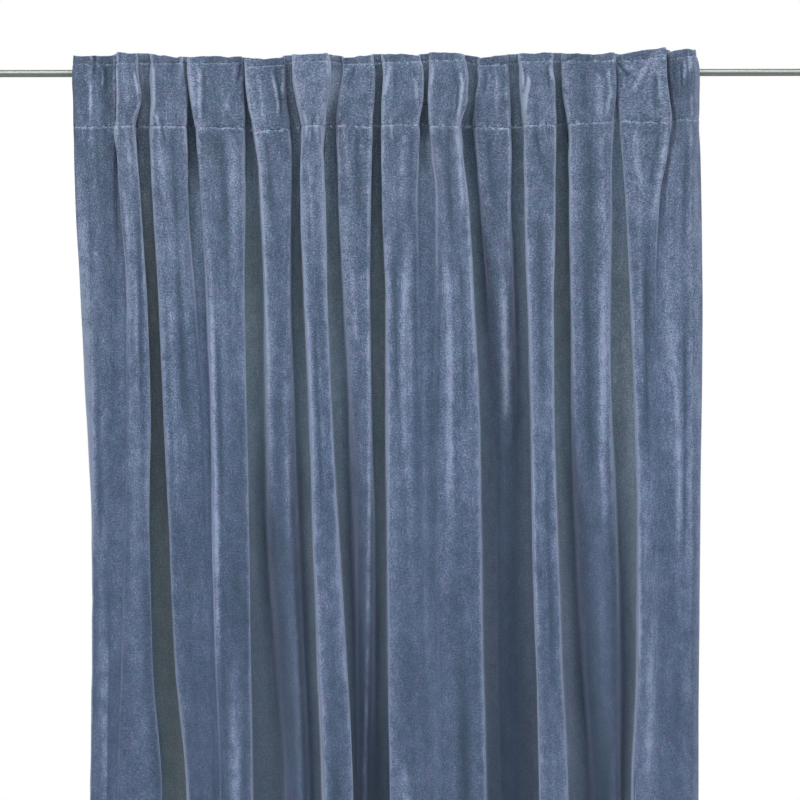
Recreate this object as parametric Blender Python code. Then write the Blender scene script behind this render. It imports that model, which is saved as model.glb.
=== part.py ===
"""A velvet curtain hanging on a slim steel rod.

Metres, +Z up. The rod lies along X with its middle at the origin, the front of
the cloth faces -Y. The cloth hangs in front of the rod by loops on the back of
its heading tape, which the rod passes through.

The folds are drawn on a chart: positions across and down as seen from VIEW
metres in front, in units of UNIT. Depths are millimetres in front of the rod's
axis. Each fold has a row in EDGES and DEPTHS, each dip between two folds a row
in GAPS, and the columns are the heights in ROWS.
"""
import math

import bmesh
import bpy
import numpy as np
from mathutils.bvhtree import BVHTree

# ------------------------------------------------------------ driving sizes, m
CLOTH_WIDTH = 1.40          # flat, hems turned in
CLOTH_DROP = 2.40           # flat, top edge to bottom edge
CLOTH_THICK = 0.0020
HEM_THICK = 0.0028          # where the cloth is turned double
SIDE_HEM = 0.0175
BOTTOM_HEM = 0.095

TAPE_THICK = 0.0008
TAPE_MARGIN = 0.0025        # tape beyond each row of stitching
GAP = 0.0004                # between pieces that touch

LOOP_THICK = 0.0010
LOOP_WIDTH = 0.0120
LOOP_FOOT_TOP = -0.0440     # the loop's lower end meets the tape from here ...
LOOP_FOOT = 0.0080          # ... over this length

ROD_RADIUS = 0.0040
ROD_LENGTH = 1.00

# ------------------------------------------------------------------ fold chart
UNIT = 0.0011
VIEW = 3.40
CHART_EYE = (400.0, 400.0)  # chart place straight ahead of the viewpoint
CHART_ROD = (387.0, 73.0)   # chart place of the rod's middle

# top edge, rod, mid heading, lower seam, then down to the bottom edge
ROWS = (55, 75, 100, 125, 150, 200, 300, 400, 520, 660, 800, 1500, 2263)

# fold: (left edge at each row), (right edge at each row)
EDGES = {
    "A": ((88, 88, 89, 89, 89.5, 91, 91.5, 91.5, 91, 90, 88, 88, 86),
          (116.5, 116.5, 116.5, 116, 116, 115.5, 116, 114, 110, 108, 106, 106, 104)),
    "B": ((116, 115.5, 116, 114.5, 116.5, 120, 128, 129, 127, 122, 118, 118, 116),
          (137.5, 138.5, 142, 135.5, 137.5, 141, 146.5, 148.5, 147, 150.5, 160, 160, 156)),
    "C": ((152, 151.5, 151.5, 151, 151, 153.5, 159.5, 164, 169, 175, 186, 188, 192),
          (183, 184.5, 187, 187, 188, 188, 193, 200, 204, 208, 212, 214, 216)),
    "D": ((187.5, 188.5, 192, 196, 198, 202, 208, 212, 214.5, 217, 220, 222, 226),
          (243, 243.5, 243.5, 243, 244, 245, 244, 245, 247, 249.5, 252, 256, 262)),
    "E": ((244, 245, 248.5, 254, 257, 260, 264.5, 266, 270, 278, 286, 290, 294),
          (286, 285.5, 286, 290, 292, 292, 291, 293, 296.5, 300, 304, 308, 312)),
    "F": ((293, 293, 297, 302, 300.5, 300, 303.5, 308, 312, 317.5, 323, 330, 336),
          (327.5, 329.5, 326.5, 324, 323, 325.5, 328, 331.5, 337.5, 345.5, 352, 360, 366)),
    "G": ((344, 345.5, 341, 338, 338, 339, 344, 350, 355, 357, 356, 363, 370),
          (374, 375.5, 373.5, 372.5, 371.5, 371, 370, 371, 372, 370, 368, 377, 383)),
    "H": ((381, 383.5, 383, 382.5, 382, 382.5, 385.5, 386, 386, 387.5, 390, 396, 402),
          (420, 424, 423, 418.5, 418, 415, 416, 418, 420, 422, 424, 432, 436)),
    "I": ((430, 430, 428.5, 430, 433, 439, 439, 438, 438, 440, 442, 450, 454),
          (462, 467, 467, 459.5, 462.5, 468.5, 474, 478, 481, 483, 486, 492, 500)),
    "J": ((480, 480.5, 476, 475, 477, 481, 490, 495, 497, 498, 500, 506, 514),
          (508.5, 508, 508.5, 510.5, 512, 511, 513, 514, 514, 516, 519, 524, 532)),
    "K": ((518.5, 521.5, 523.5, 524.5, 524.5, 525, 527.5, 530, 532, 535, 538, 546, 552),
          (553, 553.5, 555, 556, 556, 556, 554, 554.5, 557, 561.5, 567, 576, 582)),
    "L": ((562, 562.5, 564.5, 568, 569, 569, 571, 572, 578.5, 585, 594, 600, 604),
          (616.5, 616.5, 616.5, 613, 612, 612, 611, 612, 616, 618, 620, 622, 624)),
    "M": ((617, 617, 618, 620.5, 622, 625.5, 630.5, 635, 637.5, 637, 631, 634, 636),
          (666, 667, 669, 672, 668, 659, 655, 656, 657, 657, 656, 656, 656)),
    "N": ((668, 669.5, 672, 675, 671.5, 666, 664, 668, 669, 669, 668, 668, 668),
          (690, 692, 693, 693.5, 693, 692.5, 692.5, 692.5, 692, 690.5, 690, 690, 688)),
}

# the two free side edges
FREE = {
    "left": (74, 73, 74, 74, 74.5, 76, 81, 86, 92, 94, 93, 93, 92),
    "right": (696, 700, 700, 700, 701, 702, 703, 702, 699.5, 698, 698, 697, 696),
}

# fold: millimetres in front of the rod's axis, left edge and right edge
DEPTHS = {
    "A": ((22, 22, 24, 26, 27, 28, 30, 30, 32, 32, 31, 30, 30),
          (24, 22, 24, 27, 30, 33, 37, 39, 39, 38, 37, 34, 34)),
    "B": ((46, 46, 46, 44, 43, 44, 42, 41, 41, 41, 39, 38, 36),
          (38, 38, 40, 39, 38, 38, 38, 38, 38, 36, 30, 30, 30)),
    "C": ((41, 41, 40, 40, 38, 38, 38, 38, 38, 37, 33, 32, 34),
          (34, 34, 34, 36, 34, 36, 40, 44, 45, 44, 40, 38, 38)),
    "D": ((42, 44, 44, 44, 42, 44, 46, 50, 52, 50, 44, 42, 42),
          (26, 24, 26, 29, 30, 32, 36, 38, 38, 38, 36, 34, 34)),
    "E": ((32, 32, 32, 32, 31, 30, 26, 20, 8, -6, -14, -14, -12),
          (21, 20, 22, 26, 26, 26, 23, 18, 12, 6, 0, 0, 0)),
    "F": ((48, 50, 50, 49, 47, 46, 46, 46, 46, 46, 45, 44, 42),
          (46, 48, 48, 47, 45, 44, 44, 44, 44, 44, 44, 42, 40)),
    "G": ((28, 27, 30, 31, 30, 28, 23, 16, 4, -10, -20, -20, -18),
          (36, 37, 36, 36, 34, 33, 30, 26, 18, 4, -12, -16, -16)),
    "H": ((40, 40, 41, 40, 38, 38, 39, 41, 41, 41, 40, 40, 38),
          (36, 38, 38, 36, 34, 36, 40, 42, 42, 41, 40, 38, 38)),
    "I": ((44, 44, 42, 43, 40, 39, 40, 42, 43, 42, 41, 40, 40),
          (46, 48, 48, 47, 44, 46, 49, 51, 51, 50, 48, 46, 44)),
    "J": ((22, 23, 25, 26, 24, 19, 8, -4, -18, -24, -26, -24, -24),
          (31, 31, 31, 32, 30, 24, 12, 0, -16, -24, -26, -24, -24)),
    "K": ((46, 48, 48, 47, 45, 44, 46, 48, 50, 52, 52, 50, 48),
          (44, 46, 46, 46, 45, 44, 46, 48, 50, 52, 52, 50, 48)),
    "L": ((34, 34, 34, 36, 34, 33, 28, 22, 10, 0, -10, -12, -10),
          (43, 43, 42, 40, 38, 35, 32, 26, 16, 6, -4, -8, -8)),
    "M": ((33, 33, 34, 38, 38, 38, 40, 42, 44, 44, 42, 40, 38),
          (55, 55, 52, 50, 46, 45, 44, 43, 41, 39, 38, 36, 36)),
    "N": ((30, 30, 30, 33, 35, 39, 42, 42, 40, 38, 38, 36, 34),
          (36, 36, 35, 36, 35, 36, 38, 38, 36, 34, 34, 32, 32)),
}

# fold: millimetres that the middle of its face stands out (or, below 0, is pulled in)
CROWN = {
    "A": (-4, -8, -3, 1, 1, 1, 1, 1, 1, 1, 1, 1, 1),
    "B": (3,) * 13, "C": (2.5,) * 13, "D": (3,) * 13, "E": (1,) * 13,
    "F": (4,) * 13, "G": (1.5,) * 13, "H": (3.5,) * 13, "I": (3.5,) * 13,
    "J": (1.5,) * 13, "K": (4,) * 13, "L": (2.5,) * 13, "M": (3,) * 13,
    "N": (1,) * 13,
}

# gap: sideways shift of its floor, and how far it has closed (1 is level), each at every row
GAPS = {
    "AB": ((5.5,) * 13, (0, 0, 0.05, 0.3, 0.6, 0.8, 0.9, 0.95, 0.97, 0.97, 0.97, 0.97, 0.97)),
    "BC": ((0,) * 13, (0,) * 13),
    "CD": ((0,) * 13, (0, 0, 0, 0, 0.1, 0.45, 0.8, 0.93, 0.97, 0.97, 0.97, 0.97, 0.97)),
    "DE": ((4, 4, 4, 4, 3, 1.5, 0, 0, 0, 0, 0, 0, 0), (0,) * 13),
    "EF": ((0,) * 13, (0,) * 13),
    "FG": ((0,) * 13, (0,) * 13),
    "GH": ((0,) * 13, (0,) * 13),
    "HI": ((0,) * 13, (0, 0, 0, 0.05, 0.45, 0.7, 0.85, 0.88, 0.9, 0.9, 0.9, 0.9, 0.9)),
    "IJ": ((0,) * 13, (0,) * 13),
    "JK": ((0,) * 13, (0,) * 13),
    "KL": ((0,) * 13, (0,) * 13),
    "LM": ((-4, -4, -4, -3, -2, -1, 0, 0, 0, 0, 0, 0, 0), (0.1, 0.45, 0.6, 0.6, 0.55, 0.4, 0.15, 0, 0, 0, 0, 0, 0)),
    "MN": ((0,) * 13, (0.35, 0.55, 0.7, 0.8, 0.85, 0.9, 0.95, 0.97, 0.97, 0.97, 0.97, 0.97, 0.97)),
}
# millimetres in front of the rod's axis: floor of every open gap, at each row
FLOOR = (9, 8.2, 7, 5.2, 0.2, -5, -11, -15, -21, -26, -31, -34, -36)
FLOOR_HALF = 7.5

# fold: chart height of the top edge, upper seam and lower seam, left end and right end
HEADING = {
    "A": (55.5, 55.5, 63.5, 63.5, 127.0, 125.5),
    "B": (51.0, 53.0, 63.0, 63.0, 125.5, 125.5),
    "C": (53.5, 57.0, 63.0, 63.0, 126.0, 126.0),
    "D": (56.5, 56.0, 63.8, 62.0, 127.5, 127.5),
    "E": (58.5, 56.5, 67.5, 64.5, 131.5, 129.5),
    "F": (54.0, 52.5, 61.0, 61.0, 125.0, 125.0),
    "G": (57.0, 55.0, 63.8, 63.8, 125.0, 127.0),
    "H": (54.5, 54.5, 62.0, 62.0, 125.0, 124.5),
    "I": (53.5, 53.0, 60.5, 60.5, 126.0, 126.0),
    "J": (57.5, 55.0, 66.0, 65.0, 127.5, 128.5),
    "K": (54.0, 53.0, 62.0, 62.0, 125.5, 125.5),
    "L": (54.0, 54.0, 61.5, 61.5, 124.5, 122.0),
    "M": (54.0, 48.5, 62.0, 58.5, 121.5, 123.5),
    "N": (52.0, 49.5, 60.0, 56.5, 120.0, 120.0),
}
NAMES = list(EDGES)

EYE_X = (CHART_EYE[0] - CHART_ROD[0]) * UNIT
EYE_Z = (CHART_ROD[1] - CHART_EYE[1]) * UNIT


def at_row(values, row):
    """A monotone cubic through one row of the chart's columns."""
    x, y = np.array(ROWS, float), np.array(values, float)
    h = np.diff(x)
    slope = np.diff(y) / h
    m = np.zeros(len(x))
    m[0], m[-1] = slope[0], slope[-1]
    for i in range(1, len(x) - 1):
        if slope[i - 1] * slope[i] > 0:
            w1, w2 = 2 * h[i] + h[i - 1], h[i] + 2 * h[i - 1]
            m[i] = (w1 + w2) / (w1 / slope[i - 1] + w2 / slope[i])
    row = min(max(row, x[0]), x[-1])
    i = min(max(int(np.searchsorted(x, row, side="right")) - 1, 0), len(x) - 2)
    t = (row - x[i]) / h[i]
    return float((1 + 2 * t) * (1 - t) ** 2 * y[i] + t * (1 - t) ** 2 * h[i] * m[i]
                 + t * t * (3 - 2 * t) * y[i + 1] + t * t * (t - 1) * h[i] * m[i + 1])


def plan_x(chart_x, forward_mm):
    return EYE_X + (chart_x - CHART_EYE[0]) * UNIT * (1 - forward_mm * 0.001 / VIEW)


def level(chart_y, forward_mm=40.0):
    return EYE_Z + (CHART_EYE[1] - chart_y) * UNIT * (1 - forward_mm * 0.001 / VIEW)


def free_edge(side, row, corner):
    """Where a side hem ends, SIDE_HEM of cloth away from the fold beside it."""
    x = plan_x(at_row(FREE[side], row), corner[1] * 1000 - 6)
    across = min(abs(x - corner[0]), SIDE_HEM * 0.97)
    return (x, corner[1] - math.sqrt(SIDE_HEM ** 2 - across ** 2))


def corner_line(row):
    """One level section through the cloth's middle: its corners, left to right."""
    folds = []
    for name in NAMES:
        ends = []
        for side in (0, 1):
            depth = at_row(DEPTHS[name][side], row)
            ends.append((plan_x(at_row(EDGES[name][side], row), depth), depth * 0.001))
        folds.append(ends)
    floor = at_row(FLOOR, row) * 0.001
    line = [free_edge("left", row, folds[0][0])]
    for k, name in enumerate(NAMES):
        (x0, d0), (x1, d1) = folds[k]
        crown = at_row(CROWN[name], row) * 0.001
        line += [(x0, d0), (0.5 * (x0 + x1), 0.5 * (d0 + d1) + crown), (x1, d1)]
        if k < len(NAMES) - 1:
            x2, d2 = folds[k + 1][0]
            shift, closing = GAPS[name + NAMES[k + 1]]
            shut, shift = at_row(closing, row), at_row(shift, row)
            low = min(d1, d2) - 0.0005
            depth = min(floor * (1 - shut) + low * shut, low)
            between = 0.5 * (at_row(EDGES[name][1], row) + at_row(EDGES[NAMES[k + 1]][0], row))
            centre = plan_x(between + shift * (1 - shut), depth * 1000)   # straight behind the gap
            half = FLOOR_HALF * 0.001
            half = half * (1 - shut) + shut * min(half, 0.3 * max(x2 - x1, 0.004))
            line += [(centre - half, depth), (centre + half, depth)]
    line.append(free_edge("right", row, folds[-1][1]))
    line = np.array(line)
    line[:, 1] *= -1.0                      # forward is -Y
    return line


def bend_radius(row):
    """How softly the folds turn: crisp in the heading, fuller lower down."""
    return float(np.interp(row, (55, 125, 200, 400, 800, 2263),
                           (4.0, 4.0, 4.6, 6.0, 7.0, 8.5))) * 0.001


def rounded(line, radius, samples=2400):
    """The corner line with its corners rounded, and how far along it each corner lies."""
    along = np.concatenate([[0.0], np.cumsum(np.linalg.norm(np.diff(line, axis=0), axis=1))])
    u = np.linspace(0.0, along[-1], samples)
    xy = np.stack([np.interp(u, along, line[:, j]) for j in (0, 1)], 1)
    reach = int(math.ceil(3 * radius / (u[1] - u[0])))
    weight = np.exp(-0.5 * (np.arange(-reach, reach + 1) * (u[1] - u[0]) / radius) ** 2)
    weight /= weight.sum()
    ends = (2 * xy[0] - xy[1:reach + 1][::-1], 2 * xy[-1] - xy[-reach - 1:-1][::-1])
    full = np.concatenate([ends[0], xy, ends[1]])
    return u, np.stack([np.convolve(full[:, j], weight, mode="valid") for j in (0, 1)], 1), along


def cloth_across(row):
    """Flat width of cloth that one section takes up."""
    curve = rounded(corner_line(row), bend_radius(row))[1]
    return float(np.linalg.norm(np.diff(curve, axis=0), axis=1).sum())


# Columns of the cloth, counted in corners: 0 is the left free edge, then each
# fold has a left corner, a middle and a right corner, and each gap a floor's two ends.
CORNERS_PER_FOLD = 5
LAST_CORNER = CORNERS_PER_FOLD * len(NAMES) - 1


def left_corner(k):
    return 1 + CORNERS_PER_FOLD * k


def columns():
    """Extra columns: one half way along each free hem and each half face, one down each wall."""
    extra = [0.5, LAST_CORNER - 0.5]
    for k in range(len(NAMES)):
        c = left_corner(k)
        extra += [c + 0.42, c + 1.6]
        if k < len(NAMES) - 1:
            extra += [c + 2.35, c + 4.65]
    return np.array(sorted(list(range(LAST_CORNER + 1)) + extra))


COLUMNS = columns()


def heading_levels(column_depth):
    """Z of the top edge, upper seam and lower seam at every column."""
    at, heights = [], [[], [], []]
    for k, name in enumerate(NAMES):
        c = left_corner(k)
        for side, corner in ((0, c), (1, c + 2)):
            at.append(corner)
            for j in range(3):
                heights[j].append(HEADING[name][2 * j + side])
    return [level(np.interp(COLUMNS, at, h), column_depth * 1000) for h in heights]


def section(row):
    line = corner_line(row)
    u, curve, along = rounded(line, bend_radius(row))
    s = np.interp(COLUMNS, np.arange(len(along)), along)
    p = np.stack([np.interp(s, u, curve[:, j]) for j in (0, 1)], 1)
    step = np.diff(p, axis=0)
    step /= np.linalg.norm(step, axis=1)[:, None]
    before, after = np.vstack([step[:1], step]), np.vstack([step, step[-1:]])
    tangent = before + after
    size = np.linalg.norm(tangent, axis=1)
    tangent /= size[:, None]
    miter = 2.0 / np.maximum(size, 1.2)      # keeps the wall's thickness round a bend
    front = np.stack([tangent[:, 1], -tangent[:, 0]], 1) * miter[:, None]
    return p, front


# Rows of the solid: the first four follow the heading's seams.
SOLID_ROWS = ("top", "tape_top", "tape_mid", "tape_low",
              150, 200, 260, 350, 520, 800, 1500, 2170, 2177, 2263)
CHART_OF = {"top": 55, "tape_top": 61, "tape_mid": 95, "tape_low": 128}


def cloth_grid():
    """Middle surface, in-plane front direction and half thickness, at every row and column."""
    depth_75 = -section(75)[0][:, 1]
    top, upper, lower = heading_levels(depth_75)
    tape_top, tape_low = upper + TAPE_MARGIN, lower - TAPE_MARGIN
    special = {"top": top, "tape_top": tape_top,
               "tape_mid": 0.5 * (tape_top + tape_low), "tape_low": tape_low}
    below = tape_low - level(CHART_OF["tape_low"])
    bottom = level(CHART_OF["top"]) - CLOTH_DROP
    middle, front, half = [], [], []
    for row in SOLID_ROWS:
        p, n = section(CHART_OF.get(row, row))
        used = cloth_across(CHART_OF.get(row, row))
        if abs(used - CLOTH_WIDTH) > 0.03 * CLOTH_WIDTH:
            raise ValueError("the section at %s takes %.3f m of cloth" % (row, used))
        if row in special:
            z = special[row]
        else:
            fade = np.clip((320.0 - row) / 190.0, 0.0, 1.0)
            z = np.full(len(COLUMNS), max(level(row), bottom)) + below * fade * fade * (3 - 2 * fade)
        thick = np.full(len(COLUMNS), HEM_THICK if row in (2177, 2263) else CLOTH_THICK)
        side = (COLUMNS < 0.75) | (COLUMNS > LAST_CORNER - 0.75)
        thick[side] = HEM_THICK
        middle.append(np.column_stack([p, z]))
        front.append(n)
        half.append(0.5 * thick)
    return np.array(middle), np.array(front), np.array(half)


def sheet_mesh(name, near, far):
    """A closed sheet from two grids of points: near is its front side, far its back side."""
    rows, cols = near.shape[:2]
    bm = bmesh.new()
    a = [[bm.verts.new(near[r, c]) for c in range(cols)] for r in range(rows)]
    b = [[bm.verts.new(far[r, c]) for c in range(cols)] for r in range(rows)]
    for r in range(rows - 1):
        for c in range(cols - 1):
            bm.faces.new((a[r][c], a[r + 1][c], a[r + 1][c + 1]))
            bm.faces.new((a[r][c], a[r + 1][c + 1], a[r][c + 1]))
            bm.faces.new((b[r][c], b[r + 1][c + 1], b[r + 1][c]))
            bm.faces.new((b[r][c], b[r][c + 1], b[r + 1][c + 1]))
    for c in range(cols - 1):
        bm.faces.new((a[0][c], a[0][c + 1], b[0][c + 1], b[0][c]))
        bm.faces.new((a[-1][c], b[-1][c], b[-1][c + 1], a[-1][c + 1]))
    for r in range(rows - 1):
        bm.faces.new((a[r][0], b[r][0], b[r + 1][0], a[r + 1][0]))
        bm.faces.new((a[r][-1], a[r + 1][-1], b[r + 1][-1], b[r][-1]))
    mesh = bpy.data.meshes.new(name)
    bm.to_mesh(mesh)
    bm.free()
    mesh.shade_smooth()
    mesh.set_sharp_from_angle(angle=math.radians(60))
    return mesh


def loop_path(top_front, foot_front):
    """Side view of a loop's middle line, (y, z): down the tape, over the rod, back to the tape."""
    r = ROD_RADIUS + GAP + 0.5 * LOOP_THICK
    path = [(top_front, 0.0095), (top_front, 0.0060), (top_front + 0.0008, 0.0052)]
    for k in range(5):
        a = math.radians(90 - k * 103 / 4)
        path.append((r * math.cos(a), r * math.sin(a)))
    path += [(foot_front + 0.0004, LOOP_FOOT_TOP + 0.001), (foot_front, LOOP_FOOT_TOP),
             (foot_front, LOOP_FOOT_TOP - LOOP_FOOT)]
    return np.array(path)


def loop_mesh(name, path, lean):
    """The loop's strip, LOOP_WIDTH wide; lean is how far its foot lies to the right of its top."""
    step = np.diff(path, axis=0)
    step /= np.linalg.norm(step, axis=1)[:, None]
    tangent = np.vstack([step[:1], step[:-1] + step[1:], step[-1:]])
    size = np.linalg.norm(tangent, axis=1)
    size[[0, -1]] = 2.0
    tangent /= np.linalg.norm(tangent, axis=1)[:, None]
    side = np.stack([tangent[:, 1], -tangent[:, 0]], 1) * (LOOP_THICK / np.maximum(size, 1.2))[:, None]
    outline = np.vstack([path + side, (path - side)[::-1]])
    bm = bmesh.new()
    rings = []
    for x in (-0.5 * LOOP_WIDTH, 0.5 * LOOP_WIDTH):
        ring = []
        for y, z in outline:
            slip = lean * (path[0, 1] - z) / (path[0, 1] - path[-1, 1])
            ring.append(bm.verts.new((x + slip, y, z)))
        rings.append(ring)
    n, m = len(outline), len(path)
    for i in range(n):
        j = (i + 1) % n
        bm.faces.new((rings[0][i], rings[0][j], rings[1][j], rings[1][i]))
    for k in range(m - 1):                  # the two sides, strip by strip
        i, j, p, q = k, k + 1, n - 2 - k, n - 1 - k
        bm.faces.new((rings[0][q], rings[0][p], rings[0][j], rings[0][i]))
        bm.faces.new((rings[1][i], rings[1][j], rings[1][p], rings[1][q]))
    bmesh.ops.recalc_face_normals(bm, faces=bm.faces[:])
    mesh = bpy.data.meshes.new(name)
    bm.to_mesh(mesh)
    bm.free()
    return mesh


def material(name, colour, roughness, metallic=0.0):
    m = bpy.data.materials.new(name)
    m.use_nodes = True
    shader = m.node_tree.nodes["Principled BSDF"]
    shader.inputs["Base Color"].default_value = (*colour, 1.0)
    shader.inputs["Roughness"].default_value = roughness
    shader.inputs["Metallic"].default_value = metallic
    return m


def add(name, mesh, mat, parent, place=(0, 0, 0)):
    obj = bpy.data.objects.new(name, mesh)
    obj.location = place
    obj.parent = parent
    mesh.materials.append(mat)
    bpy.context.scene.collection.objects.link(obj)
    return obj


def back_of(tree, x0, x1, z0, z1):
    """The rearmost Y of a mesh over x0..x1 and z0..z1, felt from behind."""
    hits = [tree.ray_cast((x, 0.2, z), (0, -1, 0))[0]
            for x in np.linspace(x0, x1, 9) for z in np.linspace(z0, z1, 5)]
    return max(hit.y for hit in hits if hit is not None)


def floor_centre(tape_back, corner, z):
    """X of the middle of a gap's floor, or of a fold's middle, at one height."""
    lines = [tape_back[:, int(np.nonzero(COLUMNS == c)[0][0])] for c in corner]
    return float(np.mean([np.interp(-z, -line[:, 2], line[:, 0]) for line in lines]))


def main():
    for obj in list(bpy.data.objects):
        bpy.data.objects.remove(obj)
    velvet = material("velvet", (0.125, 0.165, 0.245), 0.85)
    tape_mat = material("tape", (0.42, 0.43, 0.44), 0.9)
    steel = material("steel", (0.58, 0.60, 0.58), 0.28, 1.0)

    root = bpy.data.objects.new("curtain_on_rod", None)
    bpy.context.scene.collection.objects.link(root)

    middle, front, half = cloth_grid()
    out = np.zeros_like(middle)
    out[..., :2] = front
    add("curtain_panel", sheet_mesh("curtain_panel", middle + out * half[..., None],
                                    middle - out * half[..., None]), velvet, root)

    # the tape lies against the back of rows 1 to 3, from side hem to side hem
    cols = np.nonzero((COLUMNS >= 1) & (COLUMNS <= LAST_CORNER - 1))[0]
    rows = slice(1, 4)
    near = half[rows] + GAP
    tape_front = (middle[rows] - out[rows] * near[..., None])[:, cols]
    tape_back = (middle[rows] - out[rows] * (near + TAPE_THICK)[..., None])
    tape = add("heading_tape", sheet_mesh("heading_tape", tape_front, tape_back[:, cols]), tape_mat, root)

    # a loop where fold A is pulled in, then one at every gap between two folds
    seats = [(left_corner(0) + 1, left_corner(0) + 1)]
    seats += [(left_corner(k) + 3, left_corner(k) + 4) for k in range(len(NAMES) - 1)]
    foot_z = LOOP_FOOT_TOP - 0.5 * LOOP_FOOT
    tree = BVHTree.FromPolygons([v.co for v in tape.data.vertices],
                                [p.vertices[:] for p in tape.data.polygons])
    for k, seat in enumerate(seats):
        x_top = floor_centre(tape_back, seat, 0.006)
        x_foot = floor_centre(tape_back, seat, foot_z)
        w = 0.5 * LOOP_WIDTH
        inset = GAP + 0.5 * LOOP_THICK
        top_y = inset + back_of(tree, x_top - w, x_top + w, 0.0050, 0.0095)
        foot_y = inset + back_of(tree, x_foot - w, x_foot + w,
                                 LOOP_FOOT_TOP - LOOP_FOOT, LOOP_FOOT_TOP)
        name = "hanging_loop_%02d" % (k + 1)
        add(name, loop_mesh(name, loop_path(top_y, foot_y), x_foot - x_top), tape_mat, root,
            (x_top, 0, 0))

    bm = bmesh.new()
    bmesh.ops.create_cone(bm, cap_ends=True, segments=24, radius1=ROD_RADIUS,
                          radius2=ROD_RADIUS, depth=ROD_LENGTH)
    mesh = bpy.data.meshes.new("rod")
    bm.to_mesh(mesh)
    bm.free()
    mesh.shade_smooth()
    mesh.set_sharp_from_angle(angle=math.radians(30))
    rod = add("rod", mesh, steel, root)
    rod.rotation_euler = (0, math.radians(90), 0)
    bevel = rod.modifiers.new("edge", "BEVEL")
    bevel.width = 0.0004
    bevel.segments = 1
    bevel.limit_method = "ANGLE"
    bevel.angle_limit = math.radians(60)


main()
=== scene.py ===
"""The looks of a velvet curtain on a slim steel rod: pile, stitching, tape, loops, steel.

Metres, +Z up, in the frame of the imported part: the rod lies along X with its middle
at the origin and the front of the cloth faces -Y. The folds come from the same chart
as the part's, drawn finer and with crisper bends, and with the creases, puckers,
stitches and hems that a real curtain shows.
"""

import math

import bpy
import numpy as np
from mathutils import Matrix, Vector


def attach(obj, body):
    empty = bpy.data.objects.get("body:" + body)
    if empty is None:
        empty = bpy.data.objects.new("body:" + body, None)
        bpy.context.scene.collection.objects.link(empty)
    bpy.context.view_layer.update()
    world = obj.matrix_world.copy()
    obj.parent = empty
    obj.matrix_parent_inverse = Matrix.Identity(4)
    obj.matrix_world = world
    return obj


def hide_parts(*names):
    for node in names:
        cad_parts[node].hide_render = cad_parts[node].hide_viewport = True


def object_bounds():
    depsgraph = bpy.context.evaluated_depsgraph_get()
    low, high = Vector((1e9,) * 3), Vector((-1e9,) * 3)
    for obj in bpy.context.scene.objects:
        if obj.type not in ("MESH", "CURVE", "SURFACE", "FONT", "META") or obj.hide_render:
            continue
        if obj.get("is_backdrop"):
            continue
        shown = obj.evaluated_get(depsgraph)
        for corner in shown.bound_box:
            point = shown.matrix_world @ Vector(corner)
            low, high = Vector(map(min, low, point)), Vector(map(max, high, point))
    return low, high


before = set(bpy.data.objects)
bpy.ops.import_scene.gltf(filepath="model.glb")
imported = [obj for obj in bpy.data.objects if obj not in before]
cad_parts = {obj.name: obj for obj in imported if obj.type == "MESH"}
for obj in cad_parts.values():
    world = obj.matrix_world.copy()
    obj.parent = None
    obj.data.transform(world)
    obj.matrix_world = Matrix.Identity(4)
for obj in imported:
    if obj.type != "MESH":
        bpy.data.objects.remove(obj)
cad_low, cad_high = (list(v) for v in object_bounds())

# ------------------------------------------------------------ driving sizes, m
CLOTH_WIDTH = 1.40          # flat, hems turned in
SIDE_HEM = 0.0175
BOTTOM_HEM = 0.095
HALF = 0.00095              # half the cloth's thickness
HEM_BACK = 0.00175          # the same behind a hem, where the cloth is turned double

TAPE_THICK = 0.0007
TAPE_MARGIN = 0.0025        # tape beyond each row of stitching
GAP = 0.0004

LOOP_THICK = 0.0010
LOOP_WIDTH = 0.0120
LOOP_FOOT_TOP = -0.0440
LOOP_FOOT = 0.0080

ROD_RADIUS = 0.0040
ROD_LENGTH = 1.00

# ------------------------------------------------------------------ fold chart
UNIT = 0.0011
VIEW = 3.40
CHART_EYE = (400.0, 400.0)  # chart place straight ahead of the viewpoint
CHART_ROD = (387.0, 73.0)   # chart place of the rod's middle

# top edge, rod, mid heading, lower seam, then down to the bottom edge
ROWS = (55, 75, 100, 125, 150, 200, 300, 400, 520, 660, 800, 1500, 2263)

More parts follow.
